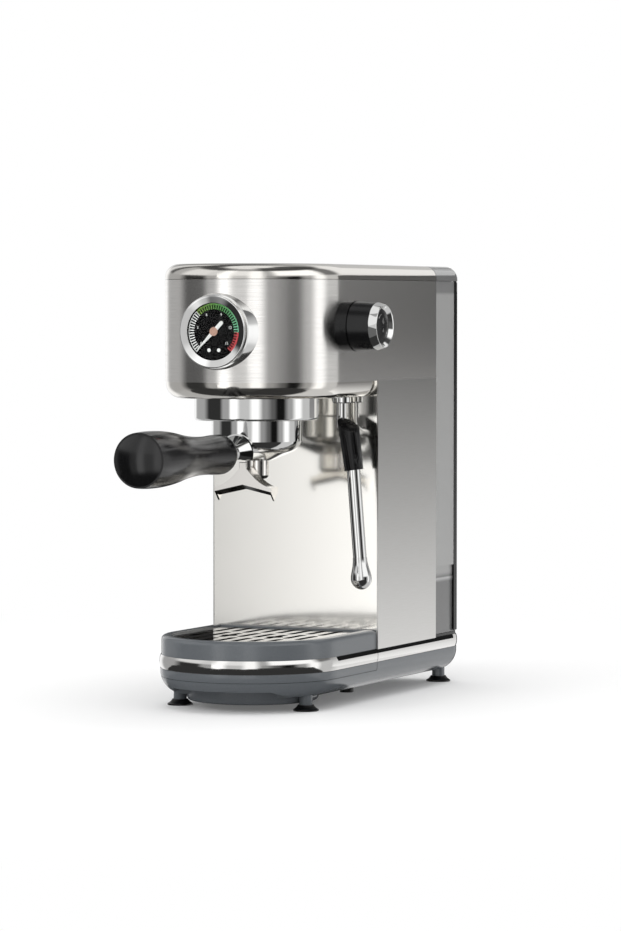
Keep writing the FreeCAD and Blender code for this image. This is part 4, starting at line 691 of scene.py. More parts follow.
# The knob's printed signs, in silver that catches the light.
SILVER_PRINT = PolishedMetal("silver_print", "#e8e8e6", 0.18)
# The mark on the knob's collar, glossier than the black round it.
GLOSS_BLACK = MouldedPlastic(
    "gloss_black_abs", "#141415", 0.1, deep="#121213", uneven=0.02, grain_depth_mm=0.0
)


@dataclass(frozen=True)
class Zone:
    """One stretch of the gauge's scale, with bearings in degrees, clockwise from the top, and millimetres.

    Attributes:
        name: What the stretch is called.
        start: Bearing of its start.
        end: Bearing of its end.
        outer: Outer radius of its solid band.
        band: Width of the band.
        tick_outer: Radius at which its ticks start.
        tick_inner: Radius at which they end, or the same where it has none.
        ink: Its finish.
    """

    name: str
    start: float
    end: float
    outer: float
    band: float
    tick_outer: float
    tick_inner: float
    ink: Finish


SCALE: tuple[Zone, ...] = (
    Zone("low", -136.0, -44.5, 19.2, 0.5, 19.0, 15.0, WHITE_INK),
    Zone("working", -43.0, 91.0, 19.3, 1.1, 18.2, 15.2, GREEN_INK),
    Zone("high", 92.0, 136.0, 18.9, 1.3, 17.6, 15.4, RED_INK),
    Zone("high_edge", 92.0, 136.0, 19.3, 0.4, 17.0, 17.0, WHITE_INK),
)


def deselect() -> None:
    """Leaves nothing selected, so that the next operator works on its own piece alone."""
    bpy.ops.object.select_all(action="DESELECT")


def pick_only(*pieces: Piece) -> None:
    """Selects some objects and makes the first of them active.

    Args:
        pieces: The objects.
    """
    deselect()
    for piece in pieces:
        piece.select_set(True)
    bpy.context.view_layer.objects.active = pieces[0]


@contextmanager
def editing() -> Iterator[None]:
    """Opens the active piece's mesh with everything selected, and closes it again.

    Yields:
        Nothing, while the mesh is open.
    """
    bpy.ops.object.mode_set(mode="EDIT")
    bpy.ops.mesh.select_all(action="SELECT")
    yield
    bpy.ops.object.mode_set(mode="OBJECT")


def primitive(add: Callable[..., set[str]], **settings: Value) -> Piece:
    """Adds one of Blender's primitives and applies its place, so that the object itself sits at the origin.

    Args:
        add: The primitive's operator.
        settings: The operator's own settings.

    Returns:
        The new piece.
    """
    deselect()
    add(**settings)
    bpy.ops.object.transform_apply(location=True, rotation=True, scale=True)
    return bpy.context.object


def block(size: Sequence[float], place: Matrix) -> Piece:
    """Adds a block, and moves it from the origin to its place.

    Args:
        size: Lengths of its sides in metres.
        place: Where it goes.

    Returns:
        The block.
    """
    piece = primitive(bpy.ops.mesh.primitive_cube_add, size=1.0)
    piece.data.transform(place @ Matrix.Diagonal((*size, 1.0)))
    return piece


def settle(piece: Piece, place: Matrix) -> None:
    """Moves a piece to its place and applies it, so that the object itself sits at the origin.

    Args:
        piece: The piece as it was modelled.
        place: Where it goes.
    """
    piece.matrix_world = place @ piece.matrix_world
    pick_only(piece)
    bpy.ops.object.transform_apply(location=True, rotation=True, scale=True)


def loft(sections: list[list[Vector]]) -> Piece:
    """Fills the first outline and extrudes it from each section to the next.

    Args:
        sections: Outlines with equally many points, each in the same order, in metres.

    Returns:
        A closed piece.
    """
    piece = primitive(
        bpy.ops.mesh.primitive_circle_add, vertices=len(sections[0]), radius=1.0, fill_type="NGON"
    )
    for vertex, spot in zip(piece.data.vertices, sections[0]):
        vertex.co = spot
    for before, after in zip(sections, sections[1:]):
        bpy.ops.object.mode_set(mode="EDIT")
        bpy.ops.mesh.select_mode(type="FACE")
        bpy.ops.mesh.extrude_region_move()
        bpy.ops.object.mode_set(mode="OBJECT")
        for vertex in piece.data.vertices:
            if vertex.select:
                nearest = min(range(len(before)), key=lambda n: (vertex.co - before[n]).length)
                vertex.co = after[nearest]
    return piece


def turn_profile(profile: list[tuple[float, float]], smooth: float, steps: int = 56) -> Piece:
    """Turns a closed profile about the Z axis.

    Args:
        profile: Radius and height of each point in millimetres.
        smooth: Edges up to this many degrees are shaded smooth.
        steps: Facets round the piece.

    Returns:
        The turned piece.
    """
    piece = primitive(
        bpy.ops.mesh.primitive_circle_add, vertices=len(profile), radius=1.0, fill_type="NOTHING"
    )
    for vertex, (radius, height) in zip(piece.data.vertices, profile):
        vertex.co = (radius * MM, 0.0, height * MM)
    with editing():
        bpy.ops.mesh.spin(steps=steps, angle=2 * math.pi, center=(0.0, 0.0, 0.0), axis=(0.0, 0.0, 1.0))
        bpy.ops.mesh.select_all(action="SELECT")
        bpy.ops.mesh.remove_doubles(threshold=1e-6)
        bpy.ops.mesh.normals_make_consistent(inside=False)
    bpy.ops.object.shade_smooth_by_angle(angle=math.radians(smooth))
    return piece


def soften(piece: Piece, width_mm: float, angle: float = 35.0, segments: int = 2) -> None:
    """Rounds a piece's sharp edges and shades it smooth.

    Args:
        piece: The piece.
        width_mm: Width of the rounding.
        angle: Edges sharper than this many degrees are rounded.
        segments: Facets across the rounding.
    """
    pick_only(piece)
    bpy.ops.object.shade_smooth_by_angle(angle=math.radians(angle))
    bevel = piece.modifiers.new("round_edges", "BEVEL")
    bevel.width = width_mm * MM
    bevel.segments = segments
    bevel.limit_method = "ANGLE"
    bevel.angle_limit = math.radians(angle)
    bevel.harden_normals = True
    bpy.ops.object.modifier_apply(modifier=bevel.name)


class Workshop:
    """Makes each material once, dresses pieces with it and hands finished pieces over."""

    def __init__(self) -> None:
        """Starts with an empty shelf of materials."""
        self.made: dict[Finish, bpy.types.Material] = {}

    def dress(self, piece: Piece, finish: Finish) -> None:
        """Puts a finish on all of a piece's material slots.

        Args:
            piece: The object to dress.
            finish: What it is made of. Its material is built the first time that it is asked for.
        """
        if finish not in self.made:
            self.made[finish] = finish.make()
        if not piece.material_slots:
            piece.data.materials.append(self.made[finish])
        for slot in piece.material_slots:
            slot.material = self.made[finish]

    def dress_nodes(self, own: dict[str, Finish]) -> None:
        """Dresses every CAD node by the record's slots.

        Args:
            own: Finishes of single nodes that differ from their slot's.
        """
        for part in frame["record"]["subparts"]:
            node = part["node"]
            finish = own.get(node, FINISHES[Slot(part["material_slot"])])
            self.dress(frame["nodes"][node], finish)
            log.info("%s: %s", node, finish.name)

    def hand_over(
        self, made: list[Piece], name: str, body: str, slot: Slot, finish: Finish | None = None,
        place: Matrix | None = None,
    ) -> Piece:
        """Joins what was made to one piece, puts it in its place, dresses it and fixes it to its body.

        Args:
            made: What the piece consists of.
            name: Its name.
            body: The CAD body that it rides on.
            slot: The record's slot that its finish belongs to.
            finish: What it is made of, where that isn't the slot's own finish.
            place: Where it goes, where it was modelled round the origin.

        Returns:
            The finished piece.
        """
        pick_only(*made)
        if len(made) > 1:
            bpy.ops.object.join()
        piece = bpy.context.view_layer.objects.active
        if place:
            settle(piece, place)
        with editing():
            bpy.ops.mesh.remove_doubles(threshold=1e-7)
            bpy.ops.mesh.normals_make_consistent(inside=False)
        piece.name = piece.data.name = name
        piece.data.materials.clear()
        self.dress(piece, finish or FINISHES[slot])
        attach(piece, body)
        log.info("%s rides on %s: %d faces", name, body, len(piece.data.polygons))
        return piece


@dataclass
class Gauge:
    """The print on the pressure gauge's dial: ticks, coloured bands, numerals and two dots.

    Sizes are in millimetres and bearings in degrees, clockwise from the top.
    """

    workshop: Workshop
    ink: float = 0.06
    arc_step: float = 3.0
    tick_step: float = 6.0
    tick_width: float = 0.72
    tick_ink: float = 0.078
    numerals: tuple[int, ...] = (0, 3, 6, 9, 12, 15)
    numeral_span: float = 130.0
    numeral_height: float = 2.7
    numeral_radius: float = 12.6
    dot_radius: float = 1.3
    dot_spread: float = 3.7
    dot_drop: float = 12.7

    def __post_init__(self) -> None:
        """Finds the way from the dial's flat drawing to its front face."""
        front = middle("gauge_dial")
        front.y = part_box("gauge_dial")[0].y
        self.place = Matrix.Translation(front) @ Matrix.Rotation(QUARTER, 4, "X")

    def build(self) -> None:
        """Prints the dial."""
        for zone in SCALE:
            drawn = [self.arc(zone)]
            if zone.tick_outer > zone.tick_inner:
                drawn += self.ticks(zone)
            self.finish(drawn, f"dial_{zone.name}_scale", zone.ink)
        self.finish(self.print_numerals(), "dial_numerals", WHITE_INK)
        self.finish(self.dots(), "dial_dots", WHITE_INK)

    def finish(self, drawn: list[Piece], name: str, ink: Finish) -> None:
        """Lays one ink's flat drawing on the dial."""
        self.workshop.hand_over(drawn, name, "machine", Slot.DIAL, ink, self.place)

    def arc(self, zone: Zone) -> Piece:
        """The solid band of a zone, in the dial's flat drawing.

        Args:
            zone: The stretch of the scale.

        Returns:
            The band.
        """
        piece = primitive(bpy.ops.mesh.primitive_plane_add, size=1.0)
        turn = Matrix.Rotation(math.radians(90 - zone.start), 4, "Z")
        move = Matrix.Translation(((zone.outer - zone.band / 2) * MM, 0.0, self.ink / 2 * MM))
        stand = Matrix.Rotation(QUARTER, 4, "X")
        size = Matrix.Diagonal((zone.band * MM, self.ink * MM, 1.0, 1.0))
        piece.data.transform(turn @ move @ stand @ size)
        sweep = zone.end - zone.start
        steps = max(2, round(sweep / self.arc_step))
        with editing():
            bpy.ops.mesh.spin(
                steps=steps, angle=math.radians(sweep), center=(0.0, 0.0, 0.0), axis=(0.0, 0.0, 1.0)
            )
        return piece

    def ticks(self, zone: Zone) -> list[Piece]:
        """A zone's ticks, spaced evenly from its start to its end.

        Args:
            zone: The stretch of the scale.

        Returns:
            One piece for each tick.
        """
        length = zone.tick_outer - zone.tick_inner
        size = (self.tick_width * MM, length * MM, self.tick_ink * MM)
        out = (zone.tick_outer + zone.tick_inner) / 2
        move = Matrix.Translation((0.0, out * MM, self.tick_ink / 2 * MM))
        sweep = zone.end - zone.start
        count = round(sweep / self.tick_step)
        bearings = [math.radians(zone.start + number * sweep / count) for number in range(count + 1)]
        return [block(size, Matrix.Rotation(-bearing, 4, "Z") @ move) for bearing in bearings]

    def print_numerals(self) -> list[Piece]:
        """Plain numbers inside the ring of ticks.

        Returns:
            One piece for each number.
        """
        drawn = []
        for number, numeral in enumerate(self.numerals):
            deselect()
            bpy.ops.object.text_add()
            text = bpy.context.object
            text.data.body = str(numeral)
            text.data.size = self.numeral_height * MM
            text.data.align_x = text.data.align_y = "CENTER"
            text.data.extrude = self.ink / 2 * MM
            text.data.resolution_u = 4
            pick_only(text)
            bpy.ops.object.convert(target="MESH")
            piece = bpy.context.object
            bearing = math.radians(self.numeral_span * (2 * number / (len(self.numerals) - 1) - 1))
            spot = Vector((math.sin(bearing), math.cos(bearing), 0.0)) * self.numeral_radius * MM
            spot.z = self.ink * MM
            piece.data.transform(Matrix.Translation(spot))
            drawn.append(piece)
        return drawn

    def dots(self) -> list[Piece]:
        """The two white dots near the bottom.

        Returns:
            One piece for each dot.
        """
        return [
            primitive(
                bpy.ops.mesh.primitive_cylinder_add, vertices=24, radius=self.dot_radius * MM,
                depth=self.ink * 2 * MM, location=(x * MM, -self.dot_drop * MM, self.ink * MM),
            )
            for x in (-self.dot_spread, self.dot_spread)
        ]


@dataclass
class Spout:
    """The double spout: a keeled bar under the bowl with a pointed outlet at each end.

    Sizes are in millimetres, heights from the floor, and x and y from the middle of the bar's front.
    """

    workshop: Workshop
    half: float = 21.7
    wall: float = 1.3
    wall_step: float = 0.02
    wall_rise: float = 0.4
    top_middle: float = 166.6
    top_end: float = 153.2
    top_flat: float = 2.3
    hollow: float = 1.75
    edge_middle: float = 154.9
    edge_end: float = 150.0
    keel_middle: float = 151.6
    keel_end: float = 147.2
    tip: float = 143.5
    depth: float = 11.8
    steps: int = 8
    tab_low: tuple[float, float, float] = (-2.9, 0.05, 162.6)
    tab_high: tuple[float, float, float] = (2.9, 1.6, 170.4)
    bridge_half: float = 4.4
    bridge_start: float = 2.0
    bridge_gap: float = 6.8
    bridge_rise: tuple[float, float] = (0.6, 6.4)
    cup_radius: float = 8.4
    cup_floor: float = 158.0
    cup_top: float = 171.0
    cup_round: float = 3.0
    cup_step: float = 3.9
    cup_sole: float = 1.4
    bore: float = 6.6
    drain: float = 3.2

    def __post_init__(self) -> None:
        """Finds the bar's middle and the bowl's axis."""
        low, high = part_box("double_spout")
        self.middle_x = (low.x + high.x) / 2
        self.front = low.y
        self.axis_y = high.y - self.cup_radius * MM

    def build(self) -> None:
        """Makes the bar, the tab that stands up at its front, the cup and the web between bar and cup."""
        end = (self.axis_y - self.front) / MM - self.bridge_gap
        foot, head = (self.cup_floor + rise for rise in self.bridge_rise)
        web = ((-self.bridge_half, self.bridge_start, foot), (self.bridge_half, end, head))
        tab = (self.tab_low, self.tab_high)
        made = [self.bar(), self.rounded_block(*tab), self.cup(), self.rounded_block(*web)]
        piece = self.workshop.hand_over(made, "spout", "portafilter", Slot.POLISHED, SPOUT_METAL)
        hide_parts("double_spout")

    def section(self, x: float, keel: float) -> list[Vector]:
        """The bar's cross-section at a distance from its middle.

        Args:
            x: Distance from the middle.
            keel: Height of the keel there.

        Returns:
            Its five corners.
        """
        share = min(1.0, abs(x) / self.half)
        rise = max(0.0, self.half - max(abs(x), self.top_flat)) / (self.half - self.top_flat)
        top = self.top_end + (self.top_middle - self.top_end) * rise**self.hollow
        edge = self.edge_middle + (self.edge_end - self.edge_middle) * share
        corners = ((0.0, top), (self.depth, top), (self.depth, edge), (self.depth / 2, keel), (0.0, edge))
        return [Vector((self.middle_x + x * MM, self.front + y * MM, z * MM)) for y, z in corners]

    def bar(self) -> Piece:
        """The keeled bar with its two pointed end walls.

        Returns:
            The bar, its edges rounded.
        """
        inner = self.half - self.wall
        places = [inner * n / self.steps for n in range(-self.steps, self.steps + 1)]
        middles = [
            self.section(x, self.keel_middle + (self.keel_end - self.keel_middle) * abs(x) / inner)
            for x in sorted([*places, self.top_flat, -self.top_flat])
        ]
        ends = [
            [self.section(side * self.half, self.tip),
             self.section(side * (inner + self.wall_step), self.tip + self.wall_rise)]
            for side in (-1, 1)
        ]
        bar = loft([*ends[0], *middles, *reversed(ends[1])])
        soften(bar, 0.3, angle=28.0)
        return bar

    def rounded_block(self, low: tuple[float, float, float], high: tuple[float, float, float]) -> Piece:
        """A small rounded block between two corners.

        Args:
            low: Its lower left front corner.
            high: Its upper right rear corner.

        Returns:
            The block.
        """
        size = [(b - a) * MM for a, b in zip(low, high)]
        spot = [(a + b) / 2 * MM for a, b in zip(low, high)]
        piece = block(size, Matrix.Translation(Vector((self.middle_x, self.front, 0.0)) + Vector(spot)))
        soften(piece, 0.5)
        return piece

    def cup(self) -> Piece:
        """The cup that holds the bowl's outlet, rounded at its foot.

        Returns:
            The cup, round the bowl's axis.
        """
        floor, curve = self.cup_floor, self.cup_round
        step, sole = floor + self.cup_step, floor + self.cup_sole
        turns = [(math.sin(a), math.cos(a)) for a in (0.0, 0.4, 0.8, 1.2, 1.57)]
        foot = [(self.cup_radius - curve + curve * s, floor + curve - curve * c) for s, c in turns]
        rim = [(self.cup_radius, self.cup_top), (self.bore, self.cup_top)]
        well = [(self.bore, step), (self.drain, step), (self.drain, sole), (0.0, sole)]
        profile = [(0.0, floor), *foot, *rim, *well]
        cup = turn_profile(profile, smooth=30.0)
        cup.data.transform(Matrix.Translation((self.middle_x, self.axis_y, 0.0)))
        return cup


@dataclass
class SteamWand:
    """The wand's drop-shaped tip, and its grip with the oblique top and the slot. Sizes in millimetres."""

    workshop: Workshop
    tip_start: float = 102.6
    tip_radii: tuple[tuple[float, float], ...] = (
        (0.0, 5.0), (3.0, 5.15), (6.5, 5.7), (10.0, 6.6), (13.0, 7.25), (15.3, 7.45), (17.4, 7.1),
        (19.4, 6.1), (21.0, 4.6), (22.2, 2.6), (22.7, 0.9), (22.8, 0.0),
    )
    grip_top: tuple[float, float] = (37.2, 202.0)
    grip_foot: tuple[float, float] = (42.3, 163.6)
    grip_top_radius: float = 7.6
    grip_foot_radius: float = 6.6
    cut_at: tuple[float, float] = (29.0, 199.6)
    cut_slope: tuple[float, float, float] = (0.52, -0.35, 1.0)
    slot_bearing: float = -42.0
    slot_span: tuple[float, float] = (172.0, 199.0)
    slot_width: float = 1.1
    slot_depth: float = 3.0
    thumb_radius: float = 1.9
    thumb_rise: float = 1.0
    thumb_stretch: float = 1.6

    def __post_init__(self) -> None:
        """Reads the wand's line from its CAD node."""
        low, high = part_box("steam_wand")
        radius = (high.y - low.y) / 2
        self.head = Vector((low.x + radius, (low.y + high.y) / 2, high.z))
        self.foot = Vector((high.x - radius, (low.y + high.y) / 2, low.z))

    def build(self) -> None:
        """Makes the tip and the grip."""
        self.tip()
        self.grip()

    def along(self, start: Vector, end: Vector) -> Matrix:
        """The turn that lays the Z axis on the way from one point to another."""
        return (end - start).to_track_quat("Z", "Y").to_matrix().to_4x4()

    def tip(self) -> None:
        """The satin drop at the wand's end, without steam holes, because the photograph shows none."""
        share = (self.head.z - self.tip_start * MM) / (self.head.z - self.foot.z)
        profile = [(0.0, 0.0)] + [(radius, reach) for reach, radius in self.tip_radii]
        drop = turn_profile(profile, smooth=50.0)
        place = Matrix.Translation(self.head.lerp(self.foot, share)) @ self.along(self.head, self.foot)
        piece = self.workshop.hand_over([drop], "wand_tip_drop", "steam_arm", Slot.WAND_TIP, place=place)
        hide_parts("steam_tip")

    def grip(self) -> None:
        """The black grip: a tapered sleeve, cut obliquely above, with a slot that ends in a thumb hole."""
        y = self.head.y
        top, foot = (Vector((x * MM, y, z * MM)) for x, z in (self.grip_top, self.grip_foot))
        piece = primitive(
            bpy.ops.mesh.primitive_cone_add, vertices=48, radius1=self.grip_foot_radius * MM,
            radius2=self.grip_top_radius * MM, depth=(top - foot).length,
        )
        settle(piece, Matrix.Translation((top + foot) / 2) @ self.along(foot, top))
        spot = (self.cut_at[0] * MM, y, self.cut_at[1] * MM)
        with editing():
            bpy.ops.mesh.bisect(plane_co=spot, plane_no=self.cut_slope, use_fill=True, clear_outer=True)
        for cutter in self.slot_cutters(top, foot):
            self.carve(piece, cutter)
        soften(piece, 0.55, segments=3)
        self.workshop.hand_over([piece], "wand_grip", "steam_arm", Slot.BLACK)
        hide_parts("steam_grip")

    def slot_cutters(self, top: Vector, foot: Vector) -> list[Piece]:
        """What the slot and the thumb hole leave open, bent on to the grip's taper.

        Args:
            top: Middle of the grip's upper end.
            foot: Middle of its lower end.

        Returns:
            The cutter of the slot and the one of the hole.
        """
        low, high = (z * MM for z in self.slot_span)
        depth = self.slot_depth * MM
        lift = Matrix.Translation((0.0, 0.0, (high + low) / 2))
        slit = block((depth, self.slot_width * MM, high - low), lift)
        hole = primitive(
            bpy.ops.mesh.primitive_cylinder_add, vertices=24, radius=self.thumb_radius * MM, depth=depth
        )
        turn = Matrix.Diagonal((1.0, 1.0, self.thumb_stretch, 1.0)) @ Matrix.Rotation(QUARTER, 4, "Y")
        hole.data.transform(Matrix.Translation((0.0, 0.0, low + self.thumb_rise * MM)) @ turn)
        facing = Matrix.Rotation(math.radians(self.slot_bearing), 4, "Z")
        for vertex in [*slit.data.vertices, *hole.data.vertices]:
            spot = vertex.co
            share = (spot.z - foot.z) / (top.z - foot.z)
            radius = self.grip_foot_radius + (self.grip_top_radius - self.grip_foot_radius) * share
            out = facing @ Vector((spot.x + radius * MM, spot.y, 0.0))
            vertex.co = Vector((foot.x + (top.x - foot.x) * share + out.x, foot.y + out.y, spot.z))
        return [slit, hole]

    def carve(self, piece: Piece, cutter: Piece) -> None:
        """Cuts one piece out of another and removes it.

        Args:
            piece: What is cut.
            cutter: What is cut out of it.
        """
        pick_only(piece)
        cut = piece.modifiers.new("cut", "BOOLEAN")
        cut.operation = "DIFFERENCE"
        cut.object = cutter
        cut.solver = "EXACT"
        bpy.ops.object.modifier_apply(modifier=cut.name)
        bpy.data.objects.remove(cutter, do_unlink=True)


@dataclass
class Knob:
    """The knob's printed signs and the setting mark on its collar. Sizes in millimetres."""

    workshop: Workshop
    dome_radius: float = 54.2
    ink: float = 0.1
    drops: tuple[tuple[float, float], ...] = ((3.8, 4.9), (-2.8, 2.9))
    drop_width: float = 0.8
    drop_points: int = 28
    arcs: tuple[tuple[float, float], ...] = ((-38.0, 64.0), (100.0, 40.0))
    arc_radius: float = 8.6
    arc_width: float = 0.5
    arc_steps: int = 14
    mark_x: float = 54.15
    mark_drop: float = 1.8
    mark_radius: float = 1.7
    mark_line: float = 0.2
    mark_length: float = 2.0

    def __post_init__(self) -> None:
        """Finds the top of the knob's dome."""
        self.axis = middle("knob_barrel")
        self.axis.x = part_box("knob_barrel")[1].x

    def build(self) -> None:
        """Prints the signs and the mark."""
        signs = [self.drop(*sizes) for sizes in self.drops] + [self.arc(*sizes) for sizes in self.arcs]
        place = Matrix.Translation(self.axis)
        self.workshop.hand_over(signs, "knob_signs", "knob", Slot.CHROME, SILVER_PRINT, place)
        self.mark()

    def sign(self, outline: list[tuple[float, float]]) -> Piece:
        """A print on the dome's face.

        Args:
            outline: Its flat outline, seen from the knob's side.

        Returns:
            The print, bent on to the dome.
        """
        piece = loft([[Vector((x, y, z)) * MM for y, z in outline] for x in (-self.ink, self.ink)])
        for vertex in piece.data.vertices:
            vertex.co.x -= math.hypot(vertex.co.y, vertex.co.z) ** 2 / (2 * self.dome_radius * MM)
        return piece

    def drop(self, rise: float, height: float) -> Piece:
        """A drop that points up.

        Args:
            rise: How far its middle lies above the knob's.
            height: Its height.

        Returns:
            The drop.
        """
        half = height / 2
        turns = [2 * math.pi * n / self.drop_points for n in range(self.drop_points)]
        width = half * self.drop_width
        return self.sign([(width * math.sin(t) * math.sin(t / 2), rise + half * math.cos(t)) for t in turns])

    def arc(self, start: float, sweep: float) -> Piece:
        """A thin arc near the edge of the dome.

        Args:
            start: Bearing of its start in degrees.
            sweep: Degrees that it covers.

        Returns:
            The arc.
        """
        bearings = [math.radians(start + sweep * n / self.arc_steps) for n in range(self.arc_steps + 1)]
        inner, outer = self.arc_radius - self.arc_width, self.arc_radius
        outline = [(outer * math.cos(b), outer * math.sin(b)) for b in bearings]
        outline += [(inner * math.cos(b), inner * math.sin(b)) for b in reversed(bearings)]
        return self.sign(outline)

    def mark(self) -> None:
        """A small ring on the collar with a line to the barrel, sunk to a hair above the surface."""
        ring = primitive(
            bpy.ops.mesh.primitive_torus_add, major_radius=self.mark_radius * MM,
            minor_radius=self.mark_line * MM, major_segments=36, minor_segments=8,
            rotation=(QUARTER, 0.0, 0.0),
        )
        line = primitive(
            bpy.ops.mesh.primitive_cylinder_add, vertices=10, radius=self.mark_line * MM,
            depth=self.mark_length * MM, rotation=(0.0, QUARTER, 0.0),
        )
        line.data.transform(Matrix.Translation(((self.mark_radius + self.mark_length / 2) * MM, 0.0, 0.0)))
        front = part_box("knob_collar")[0].y
        place = Matrix.Translation((self.mark_x * MM, front, self.axis.z - self.mark_drop * MM))
        self.workshop.hand_over([ring, line], "knob_mark", "machine", Slot.BLACK, GLOSS_BLACK, place)


@dataclass
class TankTrim:
    """The black trim down both rear corners of the tank, before its back panel. Sizes in millimetres."""

    workshop: Workshop
    depth: float = 4.6
    width: float = 1.2
    lead: float = 1.6
    proud: float = 0.3

    def build(self) -> None:
        """Makes one trim and its mirror image."""
        low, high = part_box("tank_back_panel")
        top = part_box("water_tank")[1].z + self.proud * MM
        half = (high.x - low.x) / 2 + self.proud * MM
        y = low.y + (self.depth / 2 - self.lead) * MM
        strips = []
        for side in (-1, 1):
            x = (high.x + low.x) / 2 + side * (half - self.width / 2 * MM)
            size = (self.width * MM, self.depth * MM, top - low.z)
            strip = block(size, Matrix.Translation((x, y, (top + low.z) / 2)))
            soften(strip, 0.3)
            strips.append(strip)
        self.workshop.hand_over(strips, "tank_corner_trim", "tank", Slot.BLACK)


@dataclass(frozen=True)
class Panel:
    """One tall studio panel as polished metal sees it: its bearing and how bright it is.

    Attributes:
        start: Bearing in degrees where it is fully reached, 0 before the machine and 90 to its right.
        end: Bearing where it begins to give way to the next.
        level: Brightness, where 1 is white.
    """

    start: float
    end: float
    level: float


@dataclass(frozen=True)
class Card:
    """An upright card near the machine that faces it, in metres.

    Attributes:
        name: Its name.
        bearing: Where it stands, in degrees, 0 before the machine and 90 to its right.
        reach: How far from the machine's middle.
        width: Its width.
        span: Heights of its lower and upper edge.
        levels: Brightness along its height, from 0 at the lower edge to 1 at the upper one.
        aside: How far it is moved to the left, seen from the machine.
    """

    name: str
    bearing: float
    reach: float
    width: float
    span: tuple[float, float]
    levels: tuple[tuple[float, float], ...]
    aside: float = 0.0


@dataclass(frozen=True)
class Lamp:
    """A square soft lamp, in metres.

    Attributes:
        name: Its name.
        size: Its side.
        power: Its power in watts.
        spot: Where it hangs.
        aim: What it points at.
    """

    name: str
    size: float
    power: float
    spot: tuple[float, float, float]
    aim: tuple[float, float, float]


